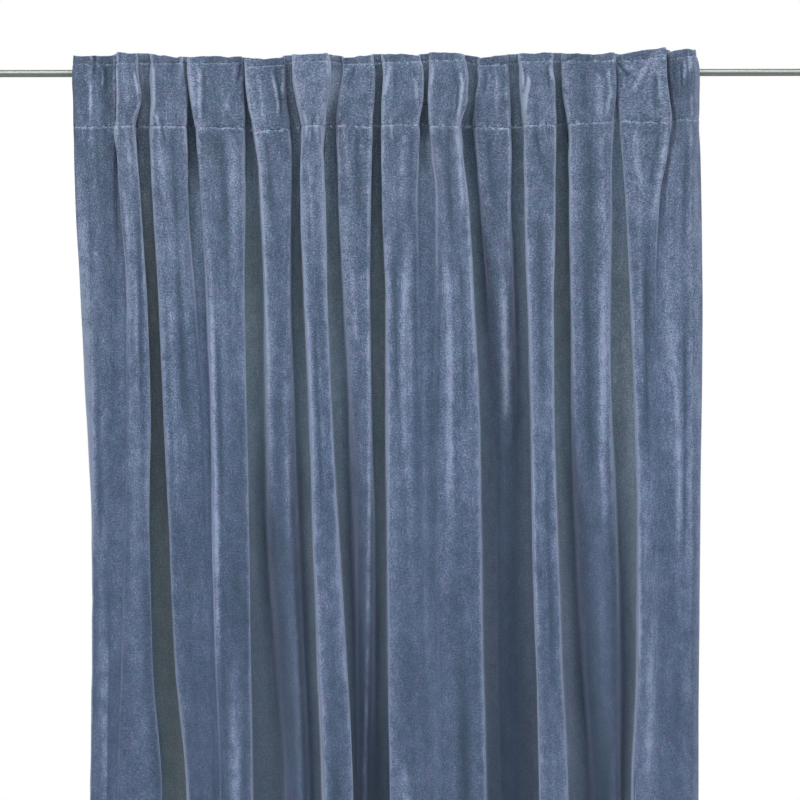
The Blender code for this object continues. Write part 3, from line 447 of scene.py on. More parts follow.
# ------------------------------------------------------------- creases
# fold, chart places along the crease, its half width in chart units, its height in
# millimetres: above 0 it stands out as a soft ridge, below 0 it is a soft trough
CREASES = (
    # fold, places, half width, height
    ("A", ((94.5, 50), (95.2, 60), (95.2, 66), (94.0, 76)), 1.7, -2.0),
    ("A", ((99.0, 66), (103.6, 71), (103.6, 79), (102.4, 88)), 1.5, 0.9),
    ("A", ((106.0, 66), (107.5, 78), (106.5, 92)), 2.2, -0.9),
    ("A", ((91.0, 80), (91.0, 118)), 1.6, 0.5),
    ("A", ((97.0, 120), (97.5, 150), (99.0, 200)), 2.6, -0.7),
    ("B", ((118.0, 118), (116.5, 130), (118.5, 150)), 1.6, 0.8),
    ("B", ((132.5, 66), (136.0, 84), (139.5, 101), (136.0, 112), (131.0, 122)), 1.4, 0.9),
    ("B", ((136.5, 88), (141.0, 104), (136.5, 115), (133.0, 123)), 1.1, -0.8),
    ("B", ((127.0, 128), (129.0, 150), (131.0, 185)), 2.4, 0.7),
    ("C", ((154.0, 66), (155.0, 90), (154.5, 112)), 1.6, 0.8),
    ("C", ((155.5, 112), (158.5, 122), (160.0, 136)), 1.5, 0.8),
    ("C", ((162.0, 116), (162.5, 126), (165.0, 142)), 1.5, -0.7),
    ("C", ((158.0, 130), (162.0, 160), (166.0, 215)), 3.0, 0.8),
    ("C", ((172.0, 128), (174.0, 160), (177.0, 240)), 3.4, -0.7),
    ("D", ((199.0, 62), (200.0, 85), (199.5, 104), (201.0, 124)), 1.8, 1.3),
    ("D", ((204.0, 64), (205.0, 90), (204.0, 120)), 2.2, -0.7),
    ("D", ((242.0, 62), (240.0, 72), (237.5, 84)), 1.4, -1.7),
    ("D", ((235.5, 64), (234.5, 74), (233.0, 86)), 1.8, 0.9),
    ("D", ((221.0, 90), (225.0, 102), (230.0, 112)), 1.8, 0.6),
    ("D", ((232.0, 90), (227.0, 101), (222.0, 114)), 1.8, 0.6),
    ("D", ((222.0, 130), (224.0, 175), (227.0, 240)), 4.0, -0.9),
    ("D", ((233.0, 130), (234.0, 200), (236.0, 300)), 4.0, 0.7),
    ("E", ((271.5, 62), (272.0, 76), (275.5, 92), (278.0, 108), (277.0, 124)), 1.6, 1.1),
    ("E", ((276.0, 66), (277.5, 80), (280.5, 96), (281.0, 118)), 1.6, -0.9),
    ("E", ((282.5, 66), (282.5, 80), (282.5, 96)), 1.2, 1.0),
    ("E", ((258.0, 70), (261.5, 100), (264.0, 124)), 2.2, 0.6),
    ("E", ((266.0, 134), (270.0, 170), (272.0, 230)), 3.2, -0.8),
    ("F", ((305.0, 112), (307.0, 124), (306.0, 140)), 1.7, 0.7),
    ("F", ((314.0, 116), (313.0, 126), (312.5, 142)), 2.2, -0.9),
    ("F", ((318.5, 112), (317.5, 126), (318.5, 146)), 1.6, 0.6),
    ("F", ((308.0, 150), (311.0, 190), (314.0, 250)), 3.0, 0.6),
    ("G", ((349.5, 64), (348.0, 72), (342.0, 86), (339.5, 100)), 1.8, 1.4),
    ("G", ((355.0, 66), (353.0, 76), (348.0, 92)), 2.4, -0.8),
    ("G", ((345.0, 126), (346.5, 150), (350.0, 190)), 2.6, 0.8),
    ("G", ((357.0, 128), (358.0, 160), (360.0, 230)), 3.4, -0.8),
    ("H", ((391.5, 64), (389.0, 76), (386.5, 92)), 1.8, 0.9),
    ("H", ((396.0, 70), (395.5, 90), (394.0, 112)), 2.2, -0.6),
    ("H", ((413.5, 76), (417.0, 88), (415.5, 104)), 1.6, 0.7),
    ("H", ((405.0, 128), (403.0, 160), (401.0, 215)), 3.2, 0.7),
    ("H", ((412.5, 128), (411.5, 165), (410.0, 240)), 2.8, -0.8),
    ("H", ((391.0, 118), (391.5, 128), (393.0, 144)), 1.7, 0.7),
    ("I", ((434.0, 63), (433.5, 75), (432.0, 88)), 1.5, 0.6),
    ("I", ((459.0, 66), (462.5, 82), (462.0, 96), (459.5, 110), (457.5, 122)), 1.3, 1.0),
    ("I", ((455.0, 72), (458.5, 88), (457.5, 106), (455.0, 120)), 1.3, -0.8),
    ("I", ((447.0, 128), (449.0, 160), (451.0, 240)), 3.2, -0.9),
    ("I", ((456.5, 130), (460.0, 165), (464.0, 220)), 2.4, 0.8),
    ("J", ((480.5, 66), (480.5, 80), (477.5, 92), (474.5, 104)), 1.6, 1.4),
    ("J", ((486.0, 68), (486.0, 84), (483.0, 98)), 2.0, -0.8),
    ("J", ((497.0, 70), (498.0, 95), (497.0, 120)), 2.6, 0.6),
    ("J", ((488.0, 132), (490.0, 160), (494.0, 210)), 3.0, -0.7),
    ("K", ((530.0, 74), (529.0, 88), (526.5, 101), (525.5, 116)), 1.4, 1.3),
    ("K", ((525.5, 66), (526.0, 82), (524.0, 96)), 1.2, -0.9),
    ("K", ((550.0, 66), (551.5, 76), (554.0, 86)), 1.2, 1.0),
    ("K", ((547.5, 70), (548.5, 80), (550.5, 92)), 1.3, -0.8),
    ("K", ((536.0, 130), (539.0, 150), (543.0, 172)), 2.2, -0.9),
    ("K", ((541.0, 180), (541.0, 300), (542.0, 420)), 4.0, -0.8),
    ("L", ((607.0, 63), (610.0, 78), (611.5, 94), (608.5, 108), (606.5, 120)), 1.4, 1.0),
    ("L", ((603.5, 68), (606.5, 84), (606.5, 100), (603.5, 118)), 1.4, -0.8),
    ("L", ((598.0, 70), (600.0, 92), (597.0, 120)), 2.6, 0.7),
    ("L", ((584.0, 66), (585.0, 90), (586.0, 120)), 3.4, -0.8),
    ("L", ((577.0, 120), (577.5, 128), (580.0, 145)), 1.8, 0.6),
    ("L", ((588.0, 130), (590.0, 170), (592.0, 240)), 3.6, -0.8),
    ("L", ((600.0, 130), (602.0, 170), (604.0, 240)), 3.0, 0.8),
    ("M", ((618.5, 62), (622.0, 68), (626.0, 74), (631.0, 78)), 1.4, -1.5),
    ("M", ((624.0, 63), (629.0, 68), (635.0, 71)), 1.5, 0.8),
    ("M", ((648.0, 64), (642.5, 74), (636.5, 85), (630.5, 97)), 1.5, 1.2),
    ("M", ((652.5, 66), (647.5, 77), (641.5, 89), (635.0, 101)), 1.8, -0.8),
    ("M", ((660.0, 66), (660.5, 84), (663.5, 102), (664.0, 120)), 2.0, 0.8),
    ("M", ((655.0, 70), (655.5, 90), (657.5, 118)), 2.4, -0.8),
    ("M", ((634.0, 128), (637.0, 150), (641.0, 190)), 2.8, 0.8),
    ("M", ((668.0, 122), (665.0, 150), (659.5, 185), (651.0, 230)), 2.4, 1.4),
    ("M", ((660.0, 128), (656.0, 160), (650.0, 190)), 2.6, -0.9),
    ("N", ((684.0, 60), (686.0, 70), (685.0, 82)), 1.6, 0.7),
    ("N", ((681.5, 66), (682.0, 76), (683.0, 90)), 1.4, -0.8),
    ("N", ((690.0, 58), (690.5, 66), (688.5, 76)), 1.6, 0.5),
    ("N", ((688.0, 130), (686.0, 180), (683.0, 260)), 3.2, -0.7),
    # lower down
    ("A", ((97.0, 300), (98.0, 420), (99.5, 560)), 3.0, -0.8),
    ("B", ((139.0, 200), (140.0, 300), (141.0, 420)), 2.6, -0.7),
    ("C", ((176.0, 250), (181.0, 340), (184.0, 430)), 3.6, -1.0),
    ("C", ((168.0, 260), (174.0, 380), (178.0, 520)), 3.0, 0.7),
    ("D", ((210.0, 330), (211.5, 400), (214.0, 470)), 2.2, 0.9),
    ("D", ((217.0, 320), (219.0, 400), (222.0, 520)), 3.0, -1.0),
    ("D", ((211.5, 480), (216.5, 540), (215.0, 600), (219.0, 660)), 2.4, 1.2),
    ("E", ((268.0, 330), (270.0, 420), (272.0, 520)), 2.8, 0.8),
    ("E", ((284.0, 340), (286.0, 450), (289.0, 560)), 3.2, 0.6),
    ("F", ((313.0, 300), (317.0, 400), (322.0, 520)), 3.4, -0.8),
    ("G", ((352.0, 260), (354.0, 300), (357.0, 350)), 3.0, 0.9),
    ("H", ((394.0, 240), (395.0, 320), (397.0, 420)), 3.0, -0.7),
    ("H", ((405.5, 250), (403.5, 320), (403.0, 400), (408.0, 520)), 3.6, 1.1),
    ("H", ((413.5, 301), (421.0, 306.5), (428.5, 313.5)), 1.3, -1.3),
    ("H", ((412.0, 296), (420.0, 301.0), (428.0, 308.0)), 1.6, 0.6),
    ("I", ((446.0, 240), (449.5, 320), (451.0, 420), (450.0, 560)), 3.6, 1.2),
    ("I", ((461.0, 250), (464.0, 340), (466.0, 440)), 3.0, -0.8),
    ("J", ((503.0, 280), (505.0, 340), (506.0, 430)), 4.0, 1.3),
    ("K", ((531.5, 440), (534.0, 560), (537.0, 660)), 3.0, 0.6),
    ("K", ((546.0, 420), (549.0, 560), (553.0, 700)), 3.4, -0.8),
    ("L", ((602.0, 250), (603.0, 350), (601.0, 450), (606.0, 560)), 3.4, 1.2),
    ("L", ((585.0, 260), (588.0, 380), (592.0, 520)), 3.8, -0.8),
    ("M", ((646.0, 250), (645.5, 340), (647.0, 460)), 3.6, -1.0),
    ("M", ((652.0, 600), (650.0, 700), (646.0, 800)), 4.0, 0.9),
    ("N", ((677.0, 300), (675.0, 380), (679.0, 470), (677.0, 600)), 3.4, 0.9),
    ("N", ((685.0, 300), (685.5, 420), (684.0, 560)), 2.4, -0.7),
    ("A", ((104.0, 600), (106.0, 800), (108.0, 1150)), 6.0, 1.2),
    ("C", ((186.0, 760), (184.0, 1100), (190.0, 1600)), 7.0, -1.4),
    ("D", ((232.0, 620), (236.0, 900), (240.0, 1300)), 7.0, 1.4),
    ("F", ((331.0, 700), (340.0, 1100), (346.0, 1500)), 6.0, -1.2),
    ("H", ((404.0, 700), (410.0, 1000), (414.0, 1400)), 7.0, 1.4),
    ("I", ((462.0, 640), (466.0, 900), (470.0, 1300)), 7.0, -1.4),
    ("K", ((552.0, 760), (562.0, 1200), (566.0, 1700)), 6.0, 1.2),
    ("L", ((604.0, 700), (606.0, 1000), (612.0, 1500)), 7.0, -1.2),
    ("M", ((644.0, 840), (640.0, 1200), (646.0, 1700)), 6.0, 1.2),
)


# fold, chart places along the band, its half width in chart units, its tone: bands of painted
# light on the folds' faces, above 0 a painted highlight there, below 0 painted shade
PAINTED_LIGHT_BANDS = (
    # fold, places, half width, tone
    ("A", ((107.5, 66), (109.0, 95), (108.0, 122)), 4.5, -0.30),
    ("A", ((91.5, 70), (91.5, 110), (92.0, 160)), 1.6, 0.30),
    ("A", ((96.0, 160), (97.0, 300), (98.0, 470)), 3.5, 0.18),
    ("A", ((102.0, 220), (103.0, 400), (101.0, 640)), 9.0, 0.20),
    ("B", ((133.0, 180), (137.0, 300), (138.0, 420)), 9.0, 0.16),
    ("N", ((682.0, 220), (682.0, 380), (682.0, 520)), 10.0, 0.12),
    ("F", ((311.0, 66), (311.0, 90), (311.0, 120)), 12.0, 0.22),
    ("B", ((117.5, 68), (118.0, 95), (117.5, 122)), 1.8, 0.30),
    ("B", ((122.0, 170), (128.5, 230), (129.5, 320), (130.5, 400), (129.5, 490)), 1.8, 0.55),
    ("B", ((137.0, 180), (141.5, 300), (142.5, 420), (141.0, 560)), 2.2, -0.22),
    ("B", ((124.0, 560), (121.5, 640), (120.0, 760)), 2.4, 0.25),
    ("C", ((153.5, 68), (153.5, 95), (153.0, 122)), 1.7, 0.32),
    ("C", ((161.0, 200), (162.5, 300), (167.0, 420), (172.0, 540)), 2.0, 0.30),
    ("C", ((184.0, 70), (185.5, 95), (185.5, 122)), 1.8, 0.22),
    ("C", ((176.0, 190), (181.0, 300), (189.0, 420), (192.0, 560)), 3.2, -0.26),
    ("D", ((193.0, 68), (194.0, 95), (197.0, 122)), 3.6, 0.36),
    ("D", ((205.0, 200), (211.0, 280), (214.0, 400), (216.5, 520), (218.0, 650), (219.0, 740)), 2.4, 0.90),
    ("D", ((238.5, 140), (238.5, 260), (240.0, 420), (242.0, 560)), 4.0, -0.28),
    ("D", ((222.0, 160), (226.0, 260), (230.0, 420)), 4.0, -0.10),
    ("E", ((247.5, 68), (252.5, 100), (257.0, 122)), 1.8, 0.24),
    ("E", ((284.0, 68), (284.5, 95), (287.0, 122)), 1.6, 0.30),
    ("E", ((272.0, 180), (276.0, 300), (279.0, 420)), 4.0, 0.16),
    ("F", ((295.0, 68), (299.0, 100), (302.5, 122)), 1.9, 0.36),
    ("F", ((303.0, 170), (305.5, 300), (310.5, 420), (315.0, 540)), 2.0, 0.36),
    ("F", ((325.0, 70), (324.0, 95), (322.0, 122)), 1.8, 0.20),
    ("F", ((322.0, 180), (325.0, 300), (329.0, 420)), 2.0, 0.22),
    ("G", ((349.0, 66), (346.0, 76), (341.0, 90)), 2.6, -0.30),
    ("G", ((353.0, 66), (352.5, 80), (349.0, 100)), 2.0, 0.22),
    ("G", ((370.0, 70), (369.5, 95), (369.0, 122)), 2.0, 0.26),
    ("G", ((343.0, 160), (348.0, 300), (354.0, 400)), 1.8, 0.26),
    ("H", ((385.5, 68), (385.0, 95), (384.5, 122)), 1.8, 0.36),
    ("H", ((387.5, 180), (388.5, 300), (389.0, 420), (389.5, 560)), 1.8, 0.34),
    ("H", ((401.0, 180), (406.5, 260), (409.5, 330), (410.0, 420), (408.0, 540)), 3.0, 0.34),
    ("H", ((396.0, 240), (397.0, 330), (398.0, 420)), 3.0, -0.20),
    ("H", ((415.0, 180), (414.5, 300), (416.0, 420), (418.0, 540)), 2.4, -0.34),
    ("I", ((432.0, 68), (431.5, 95), (432.5, 122)), 1.8, 0.34),
    ("I", ((438.5, 190), (438.5, 320), (438.0, 480)), 2.6, -0.24),
    ("I", ((446.0, 190), (449.5, 300), (450.0, 420), (449.0, 540)), 2.8, 0.36),
    ("I", ((459.5, 200), (464.0, 320), (466.0, 440)), 3.0, -0.24),
    ("I", ((470.5, 230), (474.5, 330), (478.0, 440)), 1.6, 0.30),
    ("J", ((478.5, 70), (476.5, 90), (476.0, 120)), 1.6, 0.26),
    ("J", ((495.0, 180), (503.0, 280), (507.0, 360), (507.0, 480)), 4.2, 0.22),
    ("K", ((523.5, 70), (525.5, 95), (526.5, 122)), 1.8, 0.42),
    ("K", ((527.0, 170), (529.5, 300), (532.0, 420), (534.0, 560)), 1.7, 0.44),
    ("K", ((553.5, 170), (552.0, 300), (553.0, 420), (556.0, 560)), 1.7, 0.30),
    ("K", ((539.0, 190), (541.0, 300), (543.0, 420)), 3.6, -0.16),
    ("L", ((566.0, 70), (568.0, 95), (570.0, 122)), 1.8, 0.30),
    ("L", ((600.0, 70), (601.0, 95), (599.5, 122)), 5.5, 0.28),
    ("L", ((603.5, 190), (604.5, 300), (603.0, 420), (605.5, 560)), 4.6, 0.24),
    ("L", ((586.0, 190), (590.0, 300), (592.0, 420)), 4.2, -0.22),
    ("M", ((619.5, 70), (621.0, 95), (622.5, 122)), 1.7, 0.22),
    ("M", ((628.0, 220), (632.5, 300), (636.5, 400), (638.5, 540), (638.0, 640)), 1.6, 0.36),
    ("M", ((643.0, 190), (646.0, 300), (647.0, 430)), 4.0, -0.22),
    ("M", ((668.0, 90), (669.0, 110), (666.0, 130)), 2.4, 0.34),
    ("M", ((659.0, 170), (655.5, 230), (654.0, 300)), 2.0, 0.26),
    ("N", ((687.0, 66), (688.0, 95), (688.5, 122)), 2.6, -0.22),
    ("N", ((670.0, 260), (670.5, 330), (671.0, 400), (671.0, 480)), 4.4, 0.42),
    ("N", ((684.0, 200), (685.0, 320), (685.0, 460)), 3.0, -0.24),
    ("B", ((145.0, 520), (152.0, 620), (160.0, 760), (164.0, 900)), 9.0, -0.50),
    ("N", ((689.0, 360), (687.0, 480), (686.0, 640), (686.0, 900)), 9.0, 0.46),
    ("A", ((90.5, 330), (92.5, 450), (95.0, 560)), 4.2, 0.60),
    # lower down
    ("D", ((240.0, 560), (244.0, 900), (250.0, 1400)), 5.0, -0.20),
    ("F", ((316.0, 560), (330.0, 900), (338.0, 1500)), 4.0, 0.26),
    ("H", ((392.0, 560), (396.0, 900), (400.0, 1500)), 4.0, 0.24),
    ("I", ((470.0, 560), (478.0, 900), (484.0, 1500)), 5.0, 0.22),
    ("K", ((538.0, 580), (546.0, 900), (552.0, 1500)), 4.0, 0.28),
    ("L", ((612.0, 600), (616.0, 900), (618.0, 1500)), 4.0, 0.22),
    ("C", ((176.0, 580), (188.0, 900), (194.0, 1500)), 4.0, 0.24),
)


def chart_places(p):
    """Chart x and y of every point, as seen from the viewpoint."""
    scale = UNIT * (1.0 + p[..., 1] / VIEW)
    return (CHART_EYE[0] + (p[..., 0] - EYE_X) / scale,
            CHART_EYE[1] - (p[..., 2] - EYE_Z) / scale)


def drawn_lines(p, table, ends=0.22):
    """The table's lines together, at every point of the grid, each fading out at its ends."""
    cx, cy = chart_places(p)
    height = np.zeros(cx.shape)
    for fold, places, half_width, high in table:
        c = left_corner(NAMES.index(fold))
        cols = np.nonzero((COLUMNS > c - 0.35) & (COLUMNS < c + 2.35))[0]
        ys = [y for _, y in places]
        rows = np.nonzero((cy[:, cols].min(1) < max(ys) + 4 * half_width)
                          & (cy[:, cols].max(1) > min(ys) - 4 * half_width))[0]
        if not len(rows):
            continue
        pick = np.ix_(rows, cols)
        x, y = cx[pick], cy[pick]
        # distance to the crease line, and how far along it the nearest place is
        best, at = np.full(x.shape, 1e9), np.zeros(x.shape)
        n = len(places) - 1
        for i in range(n):
            (x0, y0), (x1, y1) = places[i], places[i + 1]
            t = np.clip(((x - x0) * (x1 - x0) + (y - y0) * (y1 - y0))
                        / ((x1 - x0) ** 2 + (y1 - y0) ** 2), 0, 1)
            d = np.hypot(x - x0 - t * (x1 - x0), y - y0 - t * (y1 - y0))
            nearer = d < best
            best = np.where(nearer, d, best)
            at = np.where(nearer, (i + t) / n, at)
        taper = np.clip(np.minimum(at, 1 - at) / ends, 0, 1)
        taper = taper * taper * (3 - 2 * taper)
        fade = np.clip((COLUMNS[cols] - c + 0.35) / 0.3, 0, 1) * np.clip((c + 2.35 - COLUMNS[cols]) / 0.3, 0, 1)
        height[pick] += high * np.exp(-(best / half_width) ** 2) * (0.12 + 0.88 * taper) * fade
    return height


def closed_gaps():
    """How far each gap has closed, at every row and column: 1 where two folds run together."""
    closed = np.zeros((len(ROWS_AT), len(COLUMNS)))
    for k in range(len(NAMES) - 1):
        c = left_corner(k)
        cols = np.nonzero((COLUMNS > c + 1.6) & (COLUMNS < c + 5.4))[0]
        shut = np.array([at_row(GAPS[NAMES[k] + NAMES[k + 1]][1], row) for row in ROWS_AT])
        closed[:, cols] = np.clip(shut, 0, 1)[:, None]
    return closed


def recesses(p):
    """How far each place lies in a narrow gap: up to 0.5 just behind the folds, 1 deep down."""
    forward = -p[..., 1]
    inset = np.zeros(forward.shape)
    for k in range(len(NAMES) - 1):
        c = left_corner(k)
        cols = np.nonzero((COLUMNS > c + 2) & (COLUMNS < c + 5))[0]
        left, right = (int(np.argmin(abs(COLUMNS - s))) for s in (c + 2, c + 5))
        nearer = np.minimum(forward[:, left], forward[:, right])
        behind = nearer[:, None] - forward[:, cols]
        width = np.maximum(p[:, right, 0] - p[:, left, 0], 0.003)
        narrow = np.clip((behind.max(1) / width - 0.35) / 0.9, 0, 1)[:, None]
        kept_back = 0.20 + 0.80 * np.clip((nearer[:, None] + 0.002) / 0.030, 0, 1)
        shut = np.array([at_row(GAPS[NAMES[k] + NAMES[k + 1]][1], row) for row in ROWS_AT])[:, None]
        inset[:, cols] = narrow * kept_back * (0.5 * np.clip(behind / (0.014 * (1 - 0.75 * shut)), 0, 1)
                                               + 0.5 * np.clip((behind - 0.014) / 0.036, 0, 1))
        if NAMES[k] == "B":                      # low down this fold rolls softly into its gap
            wall = cols[COLUMNS[cols] < c + 3.3]
            low = np.clip((ROWS_AT[:, None] - 470.0) / 100.0, 0, 1)
            inset[:, wall] = inset[:, wall] * (1 - low) + np.minimum(inset[:, wall], 0.42) * low
    return inset * np.clip((ROWS_AT[:, None] - 57.0) / 22.0, 0.2, 1)


def gap_middles():
    """1 in the middle of every open gap, 0 on the folds."""
    middle = np.zeros((len(ROWS_AT), len(COLUMNS)))
    for k in range(len(NAMES) - 1):
        c = left_corner(k)
        reach = np.clip(np.minimum(COLUMNS - c - 2.05, c + 4.95 - COLUMNS) / 0.8, 0, 1)
        shut = np.array([at_row(GAPS[NAMES[k] + NAMES[k + 1]][1], row) for row in ROWS_AT])
        middle += reach[None, :] * (1 - np.clip(shut * 1.3, 0, 1))[:, None]
        if NAMES[k] == "B":
            soft = (COLUMNS > c + 2) & (COLUMNS < c + 3.3)
            middle[:, soft] *= 1 - 0.8 * np.clip((ROWS_AT[:, None] - 470.0) / 100.0, 0, 1)
    return middle


def verges(p, u):
    """How near each place on a fold's face is to the fold's edges, 1 at a crisp open edge."""
    near = np.zeros(u.shape)
    chart_row = ROWS_AT[:, None]
    for k, name in enumerate(NAMES):
        c = left_corner(k)
        for corner, side, gap in ((c, 1, NAMES[k - 1] + name if k else None),
                                  (c + 2, -1, name + NAMES[k + 1] if k < len(NAMES) - 1 else None)):
            shut = np.array([at_row(GAPS[gap][1], row) if gap else 1.0 for row in ROWS_AT])[:, None]
            cols = np.nonzero((COLUMNS > c - 0.5) & (COLUMNS < c + 2.5))[0]
            at = int(np.argmin(abs(COLUMNS - corner)))
            inward = side * (u[:, cols] - u[:, at:at + 1])
            glow = np.where(inward > 0, np.exp(-inward / 0.0065), np.exp(inward / 0.0012))
            crisp = np.clip((-p[:, at:at + 1, 1] - 0.006) / 0.016, 0, 1) * (1.0 if side > 0 else 0.75)
            if (name, side) == ("B", -1):        # this edge rolls softly into the gap low down
                crisp = crisp * np.clip((580.0 - chart_row) / 80.0, 0, 1)
            near[:, cols] = np.maximum(near[:, cols], glow * crisp * (1 - np.clip(shut * 1.2, 0, 1)))
    return near


# how much paler or darker each fold is drawn as a whole
FOLD_TONE = {"A": -0.04, "B": 0.03, "C": -0.05, "D": -0.06, "E": -0.06, "F": 0.04, "G": -0.05, "H": -0.03,
        "I": 0.0, "J": -0.03, "K": 0.0, "L": -0.05, "M": 0.06, "N": -0.03}


def fold_tones():
    at, tone = [], []
    for k, name in enumerate(NAMES):
        c = left_corner(k)
        at += [c - 0.3, c + 2.3]
        tone += [FOLD_TONE[name], FOLD_TONE[name]]
    return np.interp(COLUMNS, at, tone)[None, :]


def straight_over_gaps(values):
    """One value per column, running straight from fold to fold across every gap."""
    out = values.copy()
    for k in range(len(NAMES) - 1):
        c = left_corner(k)
        inside = (COLUMNS > c + 2) & (COLUMNS < c + 5)
        ends = [values[int(np.argmin(abs(COLUMNS - s)))] for s in (c + 2, c + 5)]
        out[inside] = np.interp(COLUMNS[inside], (c + 2, c + 5), ends)
    return out


def bump(distance, width):
    return np.exp(-(distance / width) ** 2)


def detailed_cloth():
    """The middle surface with its creases, flutes, seams and puckers, and what colours it."""
    p, u, v = folded_cloth()
    row = ROWS_AT[:, None]
    n = facing(p)
    low = np.clip((row - 140.0) / 300.0, 0, 1)
    drawn = drawn_lines(p, CREASES)
    d = 0.0013 * drawn
    # soft flutes where the cloth hangs, finer in the heading
    d = d + (0.00035 + 0.0006 * low) * soft_noise(u, v, 0.021, 0.19, 21)
    d = d + (0.00020 + 0.0008 * low) * soft_noise(u, v, 0.047, 0.46, 22)
    d = d + 0.00022 * soft_noise(u, v, 0.0085, 0.045, 23)
    # the channel between the two seams is full, the ruffle above flares a little
    channel = np.clip((row - SEAM_UP) / (SEAM_LOW - SEAM_UP), 0, 1)
    d = d + 0.0008 * np.sin(math.pi * channel) * ((row > SEAM_UP) & (row < SEAM_LOW))
    ruffle = np.clip((SEAM_UP - row) / 8.0, 0, 1)
    d = d + ruffle * (0.0002 + 0.0005 * soft_noise(u, v * 0, 0.014, 1.0, 24)
                      + 0.0004 * soft_noise(u, v, 0.006, 0.006, 25))
    # gathers that run into the seams, and the seams' own dents
    up, lo = (row - SEAM_UP) * UNIT, (row - SEAM_LOW) * UNIT
    short = soft_noise(u, v, 0.0042, 0.03, 26)
    longer = soft_noise(u, v, 0.0085, 0.05, 27)
    d = d + 0.00050 * short * (bump(lo, 0.0055) + 0.7 * bump(up, 0.0035))
    d = d + 0.00070 * longer * (bump(lo + 0.004, 0.013) + bump(lo - 0.010, 0.016) + 0.7 * bump(up, 0.008))
    pull = 0.85 + 0.35 * soft_noise(u, v * 0, 0.010, 1.0, 28)
    d = d - pull * (0.00085 * bump(lo, 0.00105) + 0.00060 * bump(up, 0.00095))
    # stitched side hems and bottom hem press a shallow line into the front
    hem_line = np.minimum(abs(u - SIDE_HEM * 0.86), abs(CLOTH_WIDTH - u - SIDE_HEM * 0.86))
    below = np.clip((row - 66.0) / 6.0, 0, 1)
    d = d - 0.00035 * bump(hem_line, 0.0016) * below
    d = d + 0.00030 * soft_noise(u * 0, v, 1.0, 0.011, 29) * bump(hem_line, 0.007) * below
    d = d + 0.00060 * soft_noise(u, v, 0.030, 0.030, 41) * np.clip((row - 70.0) / 10.0, 0, 1) * np.clip((190.0 - row) / 40.0, 0, 1)
    bottom = (row - 2176.5) * UNIT
    d = d - 0.00040 * bump(bottom, 0.0016)
    p = p + n * d[..., None]
    # how strongly the cloth bends outwards across the fold, for the painted highlight along its ridges
    across = np.gradient(p[..., :2], axis=1)
    step = np.maximum(np.linalg.norm(across, axis=2), 1e-9)
    t = across / step[..., None]
    turn = np.gradient(t, axis=1) / step[..., None]
    n = facing(p)
    bend = -(turn * n[..., :2]).sum(2)
    apart = 1 - closed_gaps()
    left_hem = np.clip((0.9 - COLUMNS) / 0.2, 0, 1)[None, :]
    right_hem = np.clip((0.9 - LAST_CORNER + COLUMNS) / 0.2, 0, 1)[None, :]
    lower = np.clip((row - 160.0) / 80.0, 0, 1)
    marks = {
        "ridge": np.clip((bend - 40.0) / 260.0, 0, 1) * apart,
        # painted shade in the cloth's inward bends
        "hollow_shade": np.clip(-bend / 240.0, 0, 1) * apart,
        "seam": np.clip(bump(lo, 0.0020) + 0.75 * bump(up, 0.0013), 0, 1) + np.zeros(u.shape),
        # painted highlights and shade: the bands listed above, crease ridges lighter and troughs darker, a glow along
        # crisp fold edges; plus lighter side hems and each fold's own tone
        "painted_light_and_tone": (0.56 * drawn_lines(p, PAINTED_LIGHT_BANDS, 0.3) + 0.28 * drawn + fold_tones()
                   + 0.23 * verges(p, u) * np.clip((row - 50.0) / 110.0, 0.2, 1)
                   + (0.30 * left_hem + 0.10 * right_hem) * lower),
        "recess": recesses(p),
        "gap": gap_middles(),
        "behind": np.clip((34.0 + 1000.0 * p[..., 1]) / 50.0, 0, 1) * np.clip((row - 130.0) / 120.0, 0, 1),
        "frill": np.clip((SEAM_UP - row) / 2.0, 0, 1) + np.zeros(u.shape),
    }
    return p, u, v, marks

# --------------------------------------------------------------- meshes by hand
def zipper(faces, a, a_at, b, b_at, turned=False):
    """Triangles between two lines of vertices, each with its places along the seam."""
    i = j = 0
    while i < len(a) - 1 or j < len(b) - 1:
        if j == len(b) - 1 or (i < len(a) - 1 and a_at[i + 1] <= b_at[j + 1]):
            face, i = (a[i], b[j], a[i + 1]), i + 1
        else:
            face, j = (a[i], b[j], b[j + 1]), j + 1
        faces.append(face[::-1] if turned else face)


def mesh_object(name, points, faces, materials, smooth=True):
    mesh = bpy.data.meshes.new(name)
    mesh.from_pydata([tuple(q) for q in points], [], faces)
    for m in materials:
        mesh.materials.append(m)
    if smooth:
        mesh.shade_smooth()
    mesh.update()
    obj = bpy.data.objects.new(name, mesh)
    bpy.context.scene.collection.objects.link(obj)
    return obj


def float_attribute(mesh, name, values):
    layer = mesh.attributes.new(name, "FLOAT", "POINT")
    layer.data.foreach_set("value", np.asarray(values, np.float32))


def vector_attribute(mesh, name, values):
    layer = mesh.attributes.new(name, "FLOAT_VECTOR", "POINT")
    layer.data.foreach_set("vector", np.asarray(values, np.float32).ravel())


def rim(length, near=0.0016):
    """How much of its thickness the cloth has near an edge, so that the edge is round."""
    t = np.clip(length / near, 0, 1)
    return 0.22 + 0.78 * np.sqrt(np.clip(1 - (1 - t) ** 2, 0, 1))


MARKS = ("ridge", "hollow_shade", "seam", "painted_light_and_tone", "recess", "gap", "behind", "frill")


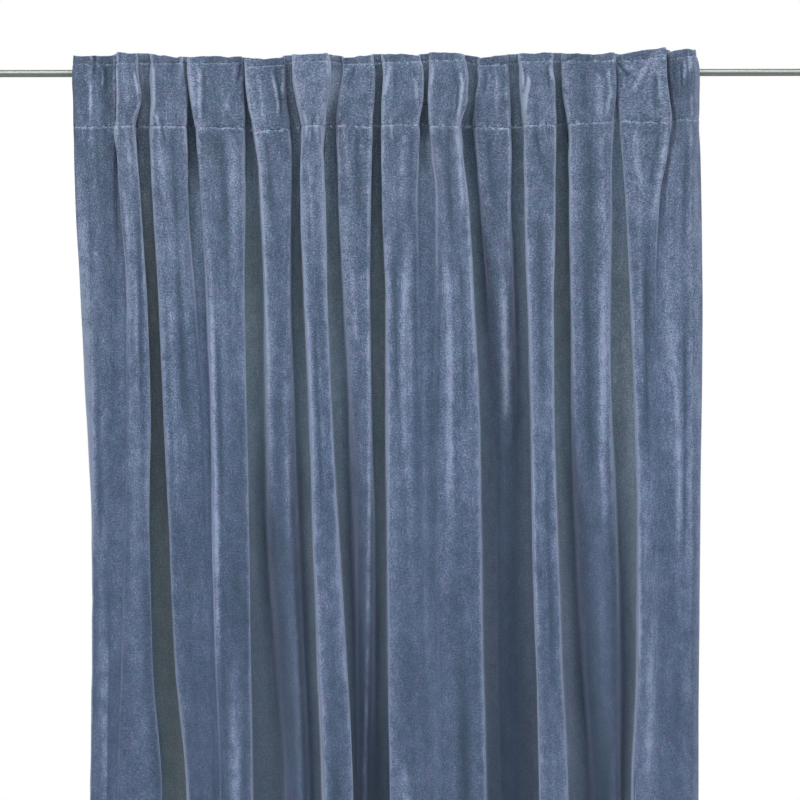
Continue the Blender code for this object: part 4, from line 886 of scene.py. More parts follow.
def clear_of_front(front, back, n):
    """The back's points set a little further back where its wider mesh would cut a bend short."""
    extra = np.zeros(back.shape[:2])
    rows, cols = extra.shape
    low = np.nonzero(ROWS_AT > 160.0)[0][0]
    for r in range(0, rows - 2, 2):
        if r < low:
            continue
        for c in range(0, cols - 4, 4):
            for i, j, across, down in ((r, c + 2, 0.5, 0.0), (r + 1, c + 2, 0.5, 0.5),
                                       (r + 1, c, 0.0, 0.5), (r + 2, c + 2, 0.5, 1.0)):
                flat = ((1 - down) * ((1 - across) * back[r, c] + across * back[r, c + 4])
                        + down * ((1 - across) * back[r + 2, c] + across * back[r + 2, c + 4]))
                short = 0.0007 - float(np.dot(n[i, j], front[i, j] - flat))
                if short > 0:
                    short = min(short, 0.0025)
                    for a, b in ((r, c), (r, c + 4), (r + 2, c), (r + 2, c + 4)):
                        extra[a, b] = max(extra[a, b], short)
    return back - n * extra[..., None]


def cloth_object(p, u, v, marks, velvet, backing):
    rows, cols = p.shape[:2]
    n = facing(p)
    pile_u = u[(ROWS_AT > 140) & (ROWS_AT < 900)].mean(0)     # the pile's streaks run down the folds
    edge = np.minimum(np.minimum(u, CLOTH_WIDTH - u), np.minimum(v, v.max() - v))
    round_off = rim(edge)
    front = p + n * (HALF * round_off)[..., None]
    # behind, the hems and the turned-down heading lie double
    side = np.minimum(u, CLOTH_WIDTH - u)
    doubled = 1 - np.clip((side - SIDE_HEM * 0.93) / 0.0008, 0, 1)
    doubled = np.maximum(doubled, np.clip((v - (v.max() - BOTTOM_HEM)) / 0.0015, 0, 1))
    back = p - n * ((HALF + (HEM_BACK - HALF) * doubled) * round_off)[..., None]
    behind = clear_of_front(front, back, n)

    points, tags, faces, kinds = [], [], [], []
    front_id = -np.ones((rows, cols), int)
    back_id = -np.ones((rows, cols), int)
    for r in range(rows):
        for c in (range(cols) if r <= SPLIT else range(0, cols, 2)):
            front_id[r, c] = len(points)
            points.append(front[r, c])
            tags.append((pile_u[c], v[r, c], *(marks[name][r, c] for name in MARKS)))
    back_rows, back_cols = range(0, rows, 2), range(0, cols, 4)
    for r in back_rows:
        for c in back_cols:
            back_id[r, c] = len(points)
            points.append(behind[r, c])
            tags.append((pile_u[c], v[r, c], *(0.4 * marks[name][r, c] if name == "seam" else 0.0 for name in MARKS)))
    for r in range(rows - 1):
        if r < SPLIT:
            for c in range(cols - 1):
                faces.append((front_id[r, c], front_id[r + 1, c], front_id[r + 1, c + 1], front_id[r, c + 1]))
        elif r == SPLIT:
            top = [int(i) for i in front_id[r]]
            low = [int(i) for i in front_id[r + 1, ::2]]
            zipper(faces, top, list(range(cols)), low, list(range(0, cols, 2)))
        else:
            for c in range(0, cols - 1, 2):
                faces.append((front_id[r, c], front_id[r + 1, c], front_id[r + 1, c + 2], front_id[r, c + 2]))
    kinds += [0] * len(faces)
    for r in back_rows[:-1]:
        for c in back_cols[:-1]:
            faces.append((back_id[r, c], back_id[r, c + 4], back_id[r + 2, c + 4], back_id[r + 2, c]))
            hem = (min(COLUMNS[c + 4], LAST_CORNER - COLUMNS[c]) <= 0.96
                   or ROWS_AT[r] >= 2175.5)
            kinds.append(0 if hem else 1)
    order_f, order_b = list(range(cols)), list(back_cols)
    zipper(faces, [int(i) for i in back_id[0, ::4]], order_b, [int(i) for i in front_id[0]], order_f)
    zipper(faces, [int(i) for i in front_id[-1, ::2]], list(range(0, cols, 2)),
           [int(i) for i in back_id[-1, ::4]], order_b)
    order_r, order_s = list(range(rows)), list(back_rows)
    zipper(faces, [int(i) for i in front_id[:, 0]], order_r,
           [int(i) for i in back_id[::2, 0]], order_s)
    zipper(faces, [int(i) for i in back_id[::2, -1]], order_s,
           [int(i) for i in front_id[:, -1]], order_r)
    kinds += [0] * (len(faces) - len(kinds))
    faces = [tuple(int(i) for i in f) for f in faces]
    obj = mesh_object("velvet_curtain", points, faces, (velvet, backing))
    obj.data.polygons.foreach_set("material_index", kinds)
    tags = np.array(tags)
    vector_attribute(obj.data, "flat_place", np.column_stack([tags[:, 0], tags[:, 1], np.zeros(len(tags))]))
    for k, name in enumerate(MARKS):
        float_attribute(obj.data, name, tags[:, 2 + k])
    return obj, front, back


def place_along(line, spacing):
    """Places every so far along a line of points: index positions and how far each is."""
    run = np.concatenate([[0.0], np.cumsum(np.linalg.norm(np.diff(line, axis=0), axis=1))])
    count = int(run[-1] / spacing)
    return run, (np.arange(count) + 0.5) * run[-1] / count


def stitch_row(points, faces, line, out, spacing, length, thick, sink, seed, hidden=0.0):
    """One row of thread lying along a line; out is the cloth's outward direction there."""
    rng = np.random.default_rng(seed)
    run, places = place_along(line, spacing)
    buried = rng.uniform(-0.9, 1.0, int(run[-1] / 0.016) + 3)      # whole stretches lie in the pile
    for s in places:
        s = s + rng.uniform(-0.08, 0.08) * spacing
        deep = sink * rng.uniform(0.2, 2.2) + hidden * max(0.0, float(np.interp(s / 0.016, range(len(buried)), buried)))
        half = 0.5 * length * rng.uniform(0.72, 1.12)
        skew = rng.uniform(-0.3, 0.3) * thick
        ring_ids = []
        stations = ((-1.0, 0.25, -0.9), (-0.72, 0.9, -0.1), (0.0, 1.0, 0.25), (0.72, 0.9, -0.1), (1.0, 0.25, -0.9))
        for k, (t, fat, lift) in enumerate(stations):
            at = min(max(s + t * half, 0.0), run[-1])
            centre = np.array([np.interp(at, run, line[:, j]) for j in range(3)])
            ahead = np.array([np.interp(min(at + 0.0005, run[-1]), run, line[:, j]) for j in range(3)])
            behind = np.array([np.interp(max(at - 0.0005, 0.0), run, line[:, j]) for j in range(3)])
            tangent = ahead - behind
            tangent /= max(np.linalg.norm(tangent), 1e-9)
            normal = np.array([np.interp(at, run, out[:, j]) for j in range(3)])
            normal -= tangent * (normal @ tangent)
            normal /= max(np.linalg.norm(normal), 1e-9)
            side = np.cross(tangent, normal)
            centre = centre + normal * (lift * thick - deep) + side * skew * t
            ring = []
            for a in range(5):
                angle = 2 * math.pi * a / 5
                ring.append(len(points))
                points.append(centre + 0.5 * thick * fat * (normal * math.cos(angle) * 0.8
                                                            + side * math.sin(angle)))
            ring_ids.append(ring)
        for r0, r1 in zip(ring_ids, ring_ids[1:]):
            for a in range(5):
                b = (a + 1) % 5
                faces.append((r0[a], r1[a], r1[b], r0[b]))
        faces.append(tuple(reversed(ring_ids[0])))
        faces.append(tuple(ring_ids[-1]))


def line_at_row(grid, row):
    """The grid's line at a chart row, between its two nearest rows."""
    r = int(np.clip(np.searchsorted(ROWS_AT, row), 1, len(ROWS_AT) - 1))
    t = (row - ROWS_AT[r - 1]) / (ROWS_AT[r] - ROWS_AT[r - 1])
    return grid[r - 1] * (1 - t) + grid[r] * t


def line_at_flat(grid, u, place):
    """The grid's line down the cloth at a fixed place across the flat cloth."""
    line = np.zeros((len(grid), 3))
    for r in range(len(grid)):
        for j in range(3):
            line[r, j] = np.interp(place, u[r], grid[r, :, j])
    return line


def finer(line, times=4):
    """The line with more points, on straight runs."""
    at = np.linspace(0, len(line) - 1, (len(line) - 1) * times + 1)
    return np.stack([np.interp(at, np.arange(len(line)), line[:, j]) for j in range(3)], 1)


# ---------------------------------------------------------------- tape and loops


def tape_object(back, material):
    """The strip sewn behind the heading, from side hem to side hem, over both seams."""
    top, low = SEAM_UP - TAPE_MARGIN / UNIT, SEAM_LOW + TAPE_MARGIN / UNIT
    levels = np.concatenate([[top, top + 0.35], np.linspace(top + 1.2, low - 1.2, 15), [low - 0.35, low]])
    cols = np.nonzero((COLUMNS >= 0.98) & (COLUMNS <= LAST_CORNER - 0.98))[0][::2]
    p = np.array([line_at_row(back, r) for r in levels])[:, cols]
    n = -facing(p)
    thin = rim(np.minimum(np.arange(len(levels)), np.arange(len(levels))[::-1]) * 0.0006, 0.0009)
    near = p + n * GAP
    far = p + n * (GAP + TAPE_THICK * thin[:, None, None])
    rows, count = near.shape[:2]
    points = [q for q in near.reshape(-1, 3)] + [q for q in far.reshape(-1, 3)]
    a = np.arange(rows * count).reshape(rows, count)
    b = a + rows * count
    faces = []
    for r in range(rows - 1):
        for c in range(count - 1):
            faces.append((a[r, c], a[r + 1, c], a[r + 1, c + 1], a[r, c + 1]))
            faces.append((b[r, c], b[r, c + 1], b[r + 1, c + 1], b[r + 1, c]))
    for c in range(count - 1):
        faces.append((a[0, c], a[0, c + 1], b[0, c + 1], b[0, c]))
        faces.append((a[-1, c], b[-1, c], b[-1, c + 1], a[-1, c + 1]))
    for r in range(rows - 1):
        faces.append((a[r, 0], b[r, 0], b[r + 1, 0], a[r + 1, 0]))
        faces.append((a[r, -1], a[r + 1, -1], b[r + 1, -1], b[r, -1]))
    obj = mesh_object("heading_tape_woven", points, [tuple(int(i) for i in f) for f in faces], (material,))
    run = np.concatenate([np.zeros((rows, 1)), np.cumsum(np.linalg.norm(np.diff(near, axis=1), axis=2), axis=1)], 1)
    down = np.repeat((levels - top)[:, None] * UNIT, count, 1)
    flat = np.column_stack([run.ravel(), down.ravel(), np.zeros(rows * count)])
    vector_attribute(obj.data, "flat_place", np.vstack([flat, flat]))
    return obj, near, far, levels


def rear_of(far, x0, x1, z0, z1):
    """The rearmost Y of a grid of points over a patch."""
    q = far.reshape(-1, 3)
    inside = (q[:, 0] > x0) & (q[:, 0] < x1) & (q[:, 2] > z0) & (q[:, 2] < z1) & (q[:, 1] > -0.024)
    if not inside.any():
        inside = (q[:, 0] > x0 - 0.004) & (q[:, 0] < x1 + 0.004) & (q[:, 2] > z0 - 0.004) & (q[:, 2] < z1 + 0.004)
    return float(q[inside][:, 1].max())


def seat_places(far, levels):
    """X at the rod and at the loops' feet, for each place where the heading dips back."""
    cols = np.nonzero((COLUMNS >= 0.98) & (COLUMNS <= LAST_CORNER - 0.98))[0][::2]
    at = COLUMNS[cols]
    seats = [(left_corner(0) + 1.0, left_corner(0) + 1.0)]
    seats += [(left_corner(k) + 3.0, left_corner(k) + 4.0) for k in range(len(NAMES) - 1)]
    made = []
    for lo, hi in seats:
        xs = []
        for z in (0.006, LOOP_FOOT_TOP - 0.5 * LOOP_FOOT):
            r = [np.interp(-z, -far[:, int(np.argmin(abs(at - c))), 2], far[:, int(np.argmin(abs(at - c))), 0])
                 for c in (lo, hi)]
            xs.append(float(np.mean(r)))
        made.append(xs)
    return made


def loop_object(name, x_top, x_foot, top_y, foot_y, material, seed):
    """One loop: sewn on above the rod, over the rod, slanting down to its foot on the tape."""
    rng = np.random.default_rng(seed)
    r = ROD_RADIUS + 0.0003 + 0.5 * LOOP_THICK
    path = [(top_y, 0.0093), (top_y, 0.0076), (top_y, 0.0062), (top_y + 0.0003, 0.0055), (top_y + 0.0012, 0.00515)]
    for k in range(15):
        a = math.radians(93 - k * 106 / 14)
        path.append((r * math.cos(a), r * math.sin(a)))
    end_y, end_z = path[-1]
    sag = rng.uniform(0.0002, 0.0009)
    for t in (0.12, 0.28, 0.45, 0.62, 0.78, 0.9, 0.97):
        path.append((end_y + (foot_y - end_y) * (t ** 0.9) - sag * math.sin(math.pi * t),
                     end_z + (LOOP_FOOT_TOP + 0.0008 - end_z) * t))
    path += [(foot_y, LOOP_FOOT_TOP - 0.0004), (foot_y, LOOP_FOOT_TOP - 0.004), (foot_y, LOOP_FOOT_TOP - LOOP_FOOT)]
    path = np.array(path)
    step = np.gradient(path, axis=0)
    step /= np.linalg.norm(step, axis=1)[:, None]
    side = np.stack([step[:, 1], -step[:, 0]], 1)
    run = np.concatenate([[0.0], np.cumsum(np.linalg.norm(np.diff(path, axis=0), axis=1))])
    # the strip's cross section: across the width and through the thickness, edges rounded
    w, h = 0.5 * LOOP_WIDTH, 0.5 * LOOP_THICK
    ring = ((-w, 0.0), (-w + 0.0004, h), (-0.35 * w, 0.86 * h), (0.35 * w, 0.86 * h), (w - 0.0004, h),
            (w, 0.0), (w - 0.0004, -h), (0.35 * w, -0.86 * h), (-0.35 * w, -0.86 * h), (-w + 0.0004, -h))
    points, flat, faces = [], [], []
    lean = x_foot - x_top
    for i, (y, z) in enumerate(path):
        slip = x_top + lean * np.clip((path[0, 1] - z) / (path[0, 1] - path[-1, 1]), 0, 1)
        narrow = 1.0 - 0.05 * math.sin(math.pi * run[i] / run[-1])
        for a, b in ring:
            points.append((slip + a * narrow, y + side[i, 0] * b, z + side[i, 1] * b))
            flat.append((a, run[i], 0.0))
    m = len(ring)
    for i in range(len(path) - 1):
        for k in range(m):
            j = (k + 1) % m
            faces.append((i * m + k, i * m + j, (i + 1) * m + j, (i + 1) * m + k))
    faces.append(tuple(range(m))[::-1])
    faces.append(tuple((len(path) - 1) * m + k for k in range(m)))
    obj = mesh_object(name, points, faces, (material,))
    if signed_volume(obj.data) < 0:
        obj.data.flip_normals()
    vector_attribute(obj.data, "flat_place", flat)
    return obj


def signed_volume(mesh):
    total = 0.0
    for f in mesh.polygons:
        q = [mesh.vertices[i].co for i in f.vertices]
        for k in range(1, len(q) - 1):
            total += q[0].dot(q[k].cross(q[k + 1])) / 6.0
    return total


def rod_object(material):
    """The steel rod, turned: round, with an eased edge at each cut end."""
    sides, ease = 72, 0.0005
    rings = [(-0.5, 0.0), (-0.5, ROD_RADIUS - ease), (-0.5 + 0.3 * ease, ROD_RADIUS - 0.3 * ease),
             (-0.5 + ease, ROD_RADIUS)]
    rings += [(x, ROD_RADIUS) for x in np.linspace(-0.4, 0.4, 9)]
    rings += [(-x, r) for x, r in rings[3::-1]]
    points, faces = [], []
    for x, r in rings:
        if r == 0.0:
            points.append((x * ROD_LENGTH, 0.0, 0.0))
            continue
        for k in range(sides):
            a = 2 * math.pi * k / sides
            points.append((x * ROD_LENGTH, r * math.cos(a), r * math.sin(a)))
    for k in range(sides):
        j = (k + 1) % sides
        faces.append((0, 1 + j, 1 + k))
        last = len(points) - 1
        faces.append((last, last - sides + k, last - sides + j))
        for i in range(len(rings) - 3):
            a = 1 + i * sides
            faces.append((a + k, a + j, a + sides + j, a + sides + k))
    obj = mesh_object("steel_rod", points, faces, (material,))
    if signed_volume(obj.data) < 0:
        obj.data.flip_normals()
    obj.data.set_sharp_from_angle(angle=math.radians(50))
    return obj

# --------------------------------------------------------------------- materials
class Nodes:
    """A small helper for building one material's node tree."""

    def __init__(self, name):
        self.material = bpy.data.materials.new(name)
        self.material.use_nodes = True
        self.tree = self.material.node_tree
        self.shader = self.tree.nodes["Principled BSDF"]
        self.coord = self.tree.nodes.new("ShaderNodeTexCoord").outputs["Object"]

    def link(self, source, socket):
        if isinstance(source, (int, float)):
            socket.default_value = source
        elif isinstance(source, tuple):
            socket.default_value = source
        else:
            self.tree.links.new(source, socket)

    def attribute(self, name, output="Fac"):
        node = self.tree.nodes.new("ShaderNodeAttribute")
        node.attribute_type = "GEOMETRY"
        node.attribute_name = name
        return node.outputs[output]

    def mapping(self, source, scale, shift=(0.0, 0.0, 0.0), turn=(0.0, 0.0, 0.0)):
        node = self.tree.nodes.new("ShaderNodeMapping")
        self.link(source, node.inputs["Vector"])
        node.inputs["Scale"].default_value = scale
        node.inputs["Location"].default_value = shift
        node.inputs["Rotation"].default_value = turn
        return node.outputs["Vector"]

    def noise(self, source, scale, detail=2.0, rough=0.55, distortion=0.0, kind="Fac"):
        node = self.tree.nodes.new("ShaderNodeTexNoise")
        self.link(source, node.inputs["Vector"])
        node.inputs["Scale"].default_value = scale
        node.inputs["Detail"].default_value = detail
        node.inputs["Roughness"].default_value = rough
        node.inputs["Distortion"].default_value = distortion
        return node.outputs[kind]

    def wave(self, source, scale, direction="Z", distortion=0.0, detail_scale=1.0):
        node = self.tree.nodes.new("ShaderNodeTexWave")
        node.wave_type = "BANDS"
        node.bands_direction = direction
        self.link(source, node.inputs["Vector"])
        node.inputs["Scale"].default_value = scale
        node.inputs["Distortion"].default_value = distortion
        node.inputs["Detail"].default_value = 2.0
        node.inputs["Detail Scale"].default_value = detail_scale
        return node.outputs["Fac"]

    def math(self, kind, a, b=0.0, clamp=False):
        node = self.tree.nodes.new("ShaderNodeMath")
        node.operation = kind
        node.use_clamp = clamp
        self.link(a, node.inputs[0])
        self.link(b, node.inputs[1])
        return node.outputs[0]

    def spread(self, source, low, high, to_low, to_high):
        """source's low..high mapped to to_low..to_high."""
        node = self.tree.nodes.new("ShaderNodeMapRange")
        self.link(source, node.inputs["Value"])
        node.inputs["From Min"].default_value = low
        node.inputs["From Max"].default_value = high
        node.inputs["To Min"].default_value = to_low
        node.inputs["To Max"].default_value = to_high
        return node.outputs["Result"]

    def ramp(self, source, stops):
        node = self.tree.nodes.new("ShaderNodeValToRGB")
        self.link(source, node.inputs["Fac"])
        ramp = node.color_ramp
        while len(ramp.elements) < len(stops):
            ramp.elements.new(0.5)
        for element, (at, colour) in zip(ramp.elements, stops):
            element.position = at
            element.color = (*colour, 1.0)
        return node.outputs["Color"]

    def mix(self, factor, a, b, kind="MIX"):
        node = self.tree.nodes.new("ShaderNodeMix")
        node.data_type = "RGBA"
        node.blend_type = kind
        self.link(factor, node.inputs[0])
        self.link(a if not isinstance(a, tuple) else (*a, 1.0), node.inputs[6])
        self.link(b if not isinstance(b, tuple) else (*b, 1.0), node.inputs[7])
        return node.outputs[2]

    def bump(self, height, strength, distance, normal=None):
        node = self.tree.nodes.new("ShaderNodeBump")
        self.link(height, node.inputs["Height"])
        node.inputs["Strength"].default_value = strength
        node.inputs["Distance"].default_value = distance
        if normal is not None:
            self.link(normal, node.inputs["Normal"])
        return node.outputs["Normal"]

    def finish(self, **sockets):
        for name, value in sockets.items():
            self.link(value, self.shader.inputs[name.replace("_", " ")])
        return self.material


def velvet_material():
    m = Nodes("velvet_pile")
    flat = m.attribute("flat_place", "Vector")
    # the pile leans one way here and another way there: broad soft clouds, drawn out down the cloth
    clouds = m.noise(m.mapping(flat, (1.0, 0.36, 1.0)), 30.0, 3.0, 0.55, 0.5)
    flutes = m.noise(m.mapping(flat, (1.0, 0.035, 1.0), (5.0, 3.0, 0.0)), 62.0, 2.0, 0.5)
    patches = m.noise(m.mapping(flat, (1.0, 0.55, 1.0), (3.1, 1.7, 0.0)), 95.0, 3.0, 0.62, 0.5)
    hairs = m.noise(m.mapping(flat, (1.0, 0.22, 1.0), (2.0, 8.0, 0.0)), 520.0, 2.0, 0.65)
    crushed = m.noise(m.mapping(flat, (1.0, 0.85, 1.0), (1.0, 5.0, 0.0)), 340.0, 3.0, 0.75, 0.6)
    grain = m.noise(m.mapping(flat, (1.0, 0.92, 1.0)), 640.0, 3.0, 0.95)
    tone = m.math("MULTIPLY", m.math("SUBTRACT", clouds, 0.5), 0.55)
    for part, share in ((flutes, 0.70), (patches, 0.60), (hairs, 0.50), (crushed, 0.55), (grain, 2.9)):
        tone = m.math("ADD", tone, m.math("MULTIPLY", m.math("SUBTRACT", part, 0.5), share))
    # calmer lower down and between the folds
    down = m.tree.nodes.new("ShaderNodeSeparateXYZ")
    m.link(flat, down.inputs[0])
    calm = m.math("MULTIPLY", m.spread(down.outputs["Y"], 0.30, 0.70, 1.0, 0.72),
                  m.spread(m.attribute("behind"), 0.0, 1.0, 1.0, 0.60))
    # painted shade: the tone darkens lower down the cloth, as if the light fell off downwards
    tone = m.math("ADD", m.math("MULTIPLY", tone, calm), m.spread(down.outputs["Y"], 0.32, 0.75, 0.475, 0.43))
    # painted highlights and shade on the folds, with each fold's own tone
    painted_light_and_tone = m.math("MULTIPLY", m.attribute("painted_light_and_tone"), m.spread(patches, 0.3, 0.7, 0.65, 1.15))
    tone = m.math("ADD", tone, painted_light_and_tone)
    # painted highlight along the folds' ridges, standing in for the velvet's bright rims
    ridge_highlight = m.math("MULTIPLY", m.math("POWER", m.attribute("ridge"), 1.6), m.spread(patches, 0.3, 0.7, 0.22, 0.52))
    tone = m.math("ADD", tone, ridge_highlight)
    edge = m.tree.nodes.new("ShaderNodeLayerWeight")
    edge.inputs["Blend"].default_value = 0.5
    rim_light = m.math("MULTIPLY", m.spread(edge.outputs["Facing"], 0.22, 0.85, 0.0, 0.50),
                       m.spread(m.attribute("recess"), 0.02, 0.30, 1.0, 0.0))
    tone = m.math("ADD", tone, rim_light)
    seam = m.math("MULTIPLY", m.attribute("seam"), m.spread(crushed, 0.40, 0.60, -0.15, 0.60))
    tone = m.math("ADD", tone, seam)
    # painted shade in the inward bends
    tone = m.math("SUBTRACT", tone, m.math("MULTIPLY", m.attribute("hollow_shade"), 0.14))
    tone = m.math("SUBTRACT", tone, m.math("MULTIPLY", m.attribute("frill"), 0.07), True)
    colour = m.ramp(tone, ((0.0, (0.037, 0.060, 0.090)), (0.35, (0.069, 0.101, 0.160)),
                           (0.62, (0.111, 0.148, 0.243)), (1.0, (0.264, 0.320, 0.452))))
    hue = m.noise(m.mapping(flat, (1.0, 0.6, 1.0), (4.0, 9.0, 0.0)), 120.0, 3.0, 0.65, 0.4)
    fleck = m.noise(m.mapping(flat, (1.0, 0.8, 1.0), (6.0, 2.0, 0.0)), 430.0, 2.0, 0.8)
    colour = m.mix(m.spread(fleck, 0.50, 0.66, 0.0, 0.75), colour, (1.20, 0.94, 1.02), "MULTIPLY")
    colour = m.mix(m.spread(fleck, 0.50, 0.34, 0.0, 0.75), colour, (0.88, 1.06, 0.94), "MULTIPLY")
    lilac = m.mix(m.spread(hue, 0.42, 0.68, 0.0, 0.60), colour, (1.11, 0.98, 1.03), "MULTIPLY")
    colour = m.mix(m.spread(hue, 0.58, 0.32, 0.0, 0.60), lilac, (0.90, 1.05, 0.97), "MULTIPLY")
    # painted light between the folds: deep in the gaps the colour is lifted and turned greener, olive-tinted deepest
    # down
    colour = m.mix(m.spread(m.attribute("recess"), 0.03, 0.50, 0.0, 1.0), colour, (2.28, 2.22, 1.93), "MULTIPLY")
    colour = m.mix(m.spread(m.attribute("recess"), 0.50, 1.0, 0.0, 1.0), colour, (1.08, 1.02, 0.90), "MULTIPLY")
    # painted light: places far back lower down are lifted lighter
    colour = m.mix(m.attribute("behind"), colour, (1.40, 1.36, 1.25), "MULTIPLY")
    # painted light in the middle of the open gaps, lifted more lower down
    middle = m.math("MULTIPLY", m.attribute("gap"), m.spread(down.outputs["Y"], 0.15, 0.55, 0.35, 1.0))
    shade = m.mix(m.spread(down.outputs["Y"], 0.46, 0.60, 0.0, 1.0), (1.05, 0.99, 0.90), (1.20, 1.12, 1.02))
    colour = m.mix(middle, colour, shade, "MULTIPLY")
    # painted light: gaps near the heading lifted lighter and bluer
    upper = m.math("MULTIPLY", m.spread(m.attribute("recess"), 0.10, 0.60, 0.0, 1.0),
                   m.spread(down.outputs["Y"], 0.15, 0.23, 1.0, 0.0))
    colour = m.mix(upper, colour, (1.09, 1.10, 1.15), "MULTIPLY")
    # a little bluer down the cloth than in the heading
    shift = m.mix(m.spread(down.outputs["Y"], 0.08, 0.40, 0.0, 1.0), (1.01, 1.0, 0.965), (0.975, 1.0, 1.035))
    colour = m.mix(1.0, colour, shift, "MULTIPLY")
    rough = m.spread(patches, 0.3, 0.7, 0.95, 0.80)
    height = m.math("ADD", m.math("MULTIPLY", crushed, 0.6), m.math("MULTIPLY", grain, 0.6))
    height = m.math("ADD", height, m.math("MULTIPLY", hairs, 0.4))
    height = m.math("ADD", height, m.math("MULTIPLY", patches, 0.6))
    normal = m.bump(height, 0.6, 0.0011)
    material = m.finish(Base_Color=colour, Roughness=rough, Normal=normal)
    for name, value in (("Sheen Weight", 0.75), ("Sheen Roughness", 0.34),
                        ("Specular IOR Level", 0.12)):
        m.shader.inputs[name].default_value = value
    m.shader.inputs["Sheen Tint"].default_value = (0.66, 0.74, 1.0, 1.0)
    return material


def backing_material():
    m = Nodes("velvet_backing")
    flat = m.attribute("flat_place", "Vector")
    warp = m.wave(m.mapping(flat, (1.0, 1.0, 1.0)), 330.0, "X", 0.4, 1.0)
    weft = m.wave(m.mapping(flat, (1.0, 1.0, 1.0)), 300.0, "Y", 0.4, 1.0)
    slubs = m.noise(m.mapping(flat, (1.0, 0.06, 1.0)), 240.0, 2.0, 0.6)
    shade = m.noise(flat, 22.0, 3.0, 0.6)
    weave = m.math("MULTIPLY", warp, weft)
    tone = m.math("ADD", m.math("MULTIPLY", weave, 0.35), m.math("MULTIPLY", slubs, 0.35))
    tone = m.math("ADD", tone, m.math("MULTIPLY", shade, 0.4), True)
    colour = m.ramp(tone, ((0.15, (0.060, 0.080, 0.118)), (0.55, (0.098, 0.125, 0.182)), (0.95, (0.150, 0.185, 0.255))))
    normal = m.bump(m.math("ADD", weave, m.math("MULTIPLY", slubs, 0.6)), 0.5, 0.0004)
    material = m.finish(Base_Color=colour, Roughness=m.spread(shade, 0.3, 0.7, 0.82, 0.93), Normal=normal)
    m.shader.inputs["Sheen Weight"].default_value = 0.12
    m.shader.inputs["Specular IOR Level"].default_value = 0.25
    return material


def tape_material():
    m = Nodes("tape_weave")
    flat = m.attribute("flat_place", "Vector")
    twill = m.wave(m.mapping(flat, (1.0, 1.0, 1.0), (0.0, 0.0, 0.0), (0.0, 0.0, math.radians(58))), 420.0, "X", 0.5, 1.0)
    weft = m.wave(flat, 520.0, "Y", 0.4, 1.0)
    shade = m.noise(flat, 55.0, 3.0, 0.6)
    slubs = m.noise(m.mapping(flat, (0.06, 1.0, 1.0)), 600.0, 2.0, 0.6)
    tone = m.math("ADD", m.math("MULTIPLY", twill, 0.35), m.math("MULTIPLY", weft, 0.18))
    tone = m.math("ADD", tone, m.math("MULTIPLY", shade, 0.25))
    tone = m.math("ADD", tone, m.math("MULTIPLY", slubs, 0.25), True)
    colour = m.ramp(tone, ((0.15, (0.27, 0.285, 0.30)), (0.55, (0.40, 0.41, 0.425)), (0.95, (0.52, 0.53, 0.54))))
    normal = m.bump(m.math("ADD", twill, m.math("MULTIPLY", weft, 0.5)), 0.5, 0.0003)
    material = m.finish(Base_Color=colour, Roughness=m.spread(shade, 0.3, 0.7, 0.75, 0.92), Normal=normal)
    m.shader.inputs["Sheen Weight"].default_value = 0.15
    m.shader.inputs["Specular IOR Level"].default_value = 0.3
    return material


def thread_material():
    m = Nodes("sewing_thread")
    ply = m.wave(m.mapping(m.coord, (1.0, 1.0, 1.0), (0.0, 0.0, 0.0), (0.0, math.radians(35), 0.0)), 1500.0, "X", 0.6, 1.0)
    uneven = m.noise(m.coord, 420.0, 2.0, 0.6)
    tone = m.math("ADD", m.math("MULTIPLY", ply, 0.3), m.math("MULTIPLY", uneven, 0.7), True)
    colour = m.ramp(tone, ((0.3, (0.16, 0.20, 0.30)), (0.5, (0.30, 0.35, 0.46)), (0.7, (0.60, 0.65, 0.74))))
    normal = m.bump(ply, 0.4, 0.0001)
    material = m.finish(Base_Color=colour, Roughness=m.spread(uneven, 0.3, 0.7, 0.45, 0.65), Normal=normal)
    m.shader.inputs["Sheen Weight"].default_value = 0.2
    return material


def steel_material():
    m = Nodes("drawn_steel")
    lines = m.noise(m.mapping(m.coord, (0.015, 1.0, 1.0)), 1800.0, 2.0, 0.6)
    marks = m.noise(m.mapping(m.coord, (0.35, 1.0, 1.0)), 45.0, 3.0, 0.6)
    tone = m.math("ADD", m.math("MULTIPLY", lines, 0.35), m.math("MULTIPLY", marks, 0.65))
    colour = m.ramp(tone, ((0.3, (0.245, 0.275, 0.250)), (0.55, (0.285, 0.315, 0.290)), (0.8, (0.33, 0.36, 0.335))))
    material = m.finish(Base_Color=colour, Metallic=1.0)
    m.shader.inputs["Roughness"].default_value = 0.50
    return material


def floor_material():
    m = Nodes("pale_floor")
    cloud = m.noise(m.coord, 3.0, 3.0, 0.5)
    colour = m.ramp(cloud, ((0.3, (0.78, 0.78, 0.78)), (0.7, (0.83, 0.83, 0.83))))
    return m.finish(Base_Color=colour, Roughness=0.8)

# ---------------------------------------------------------------------- assembly
def add_light(name, place, aim, size, power, colour=(1.0, 1.0, 1.0)):
    data = bpy.data.lights.new(name, "AREA")
    data.shape = "RECTANGLE"
    data.size, data.size_y = size
    data.energy = power
    data.color = colour
    obj = bpy.data.objects.new(name, data)
    bpy.context.scene.collection.objects.link(obj)
    obj.location = place
    way = np.array(aim, float) - np.array(place, float)
    obj.rotation_euler = (math.atan2(math.hypot(way[0], way[1]), -way[2]), 0.0, math.atan2(way[1], way[0]) - math.pi / 2)
    return obj


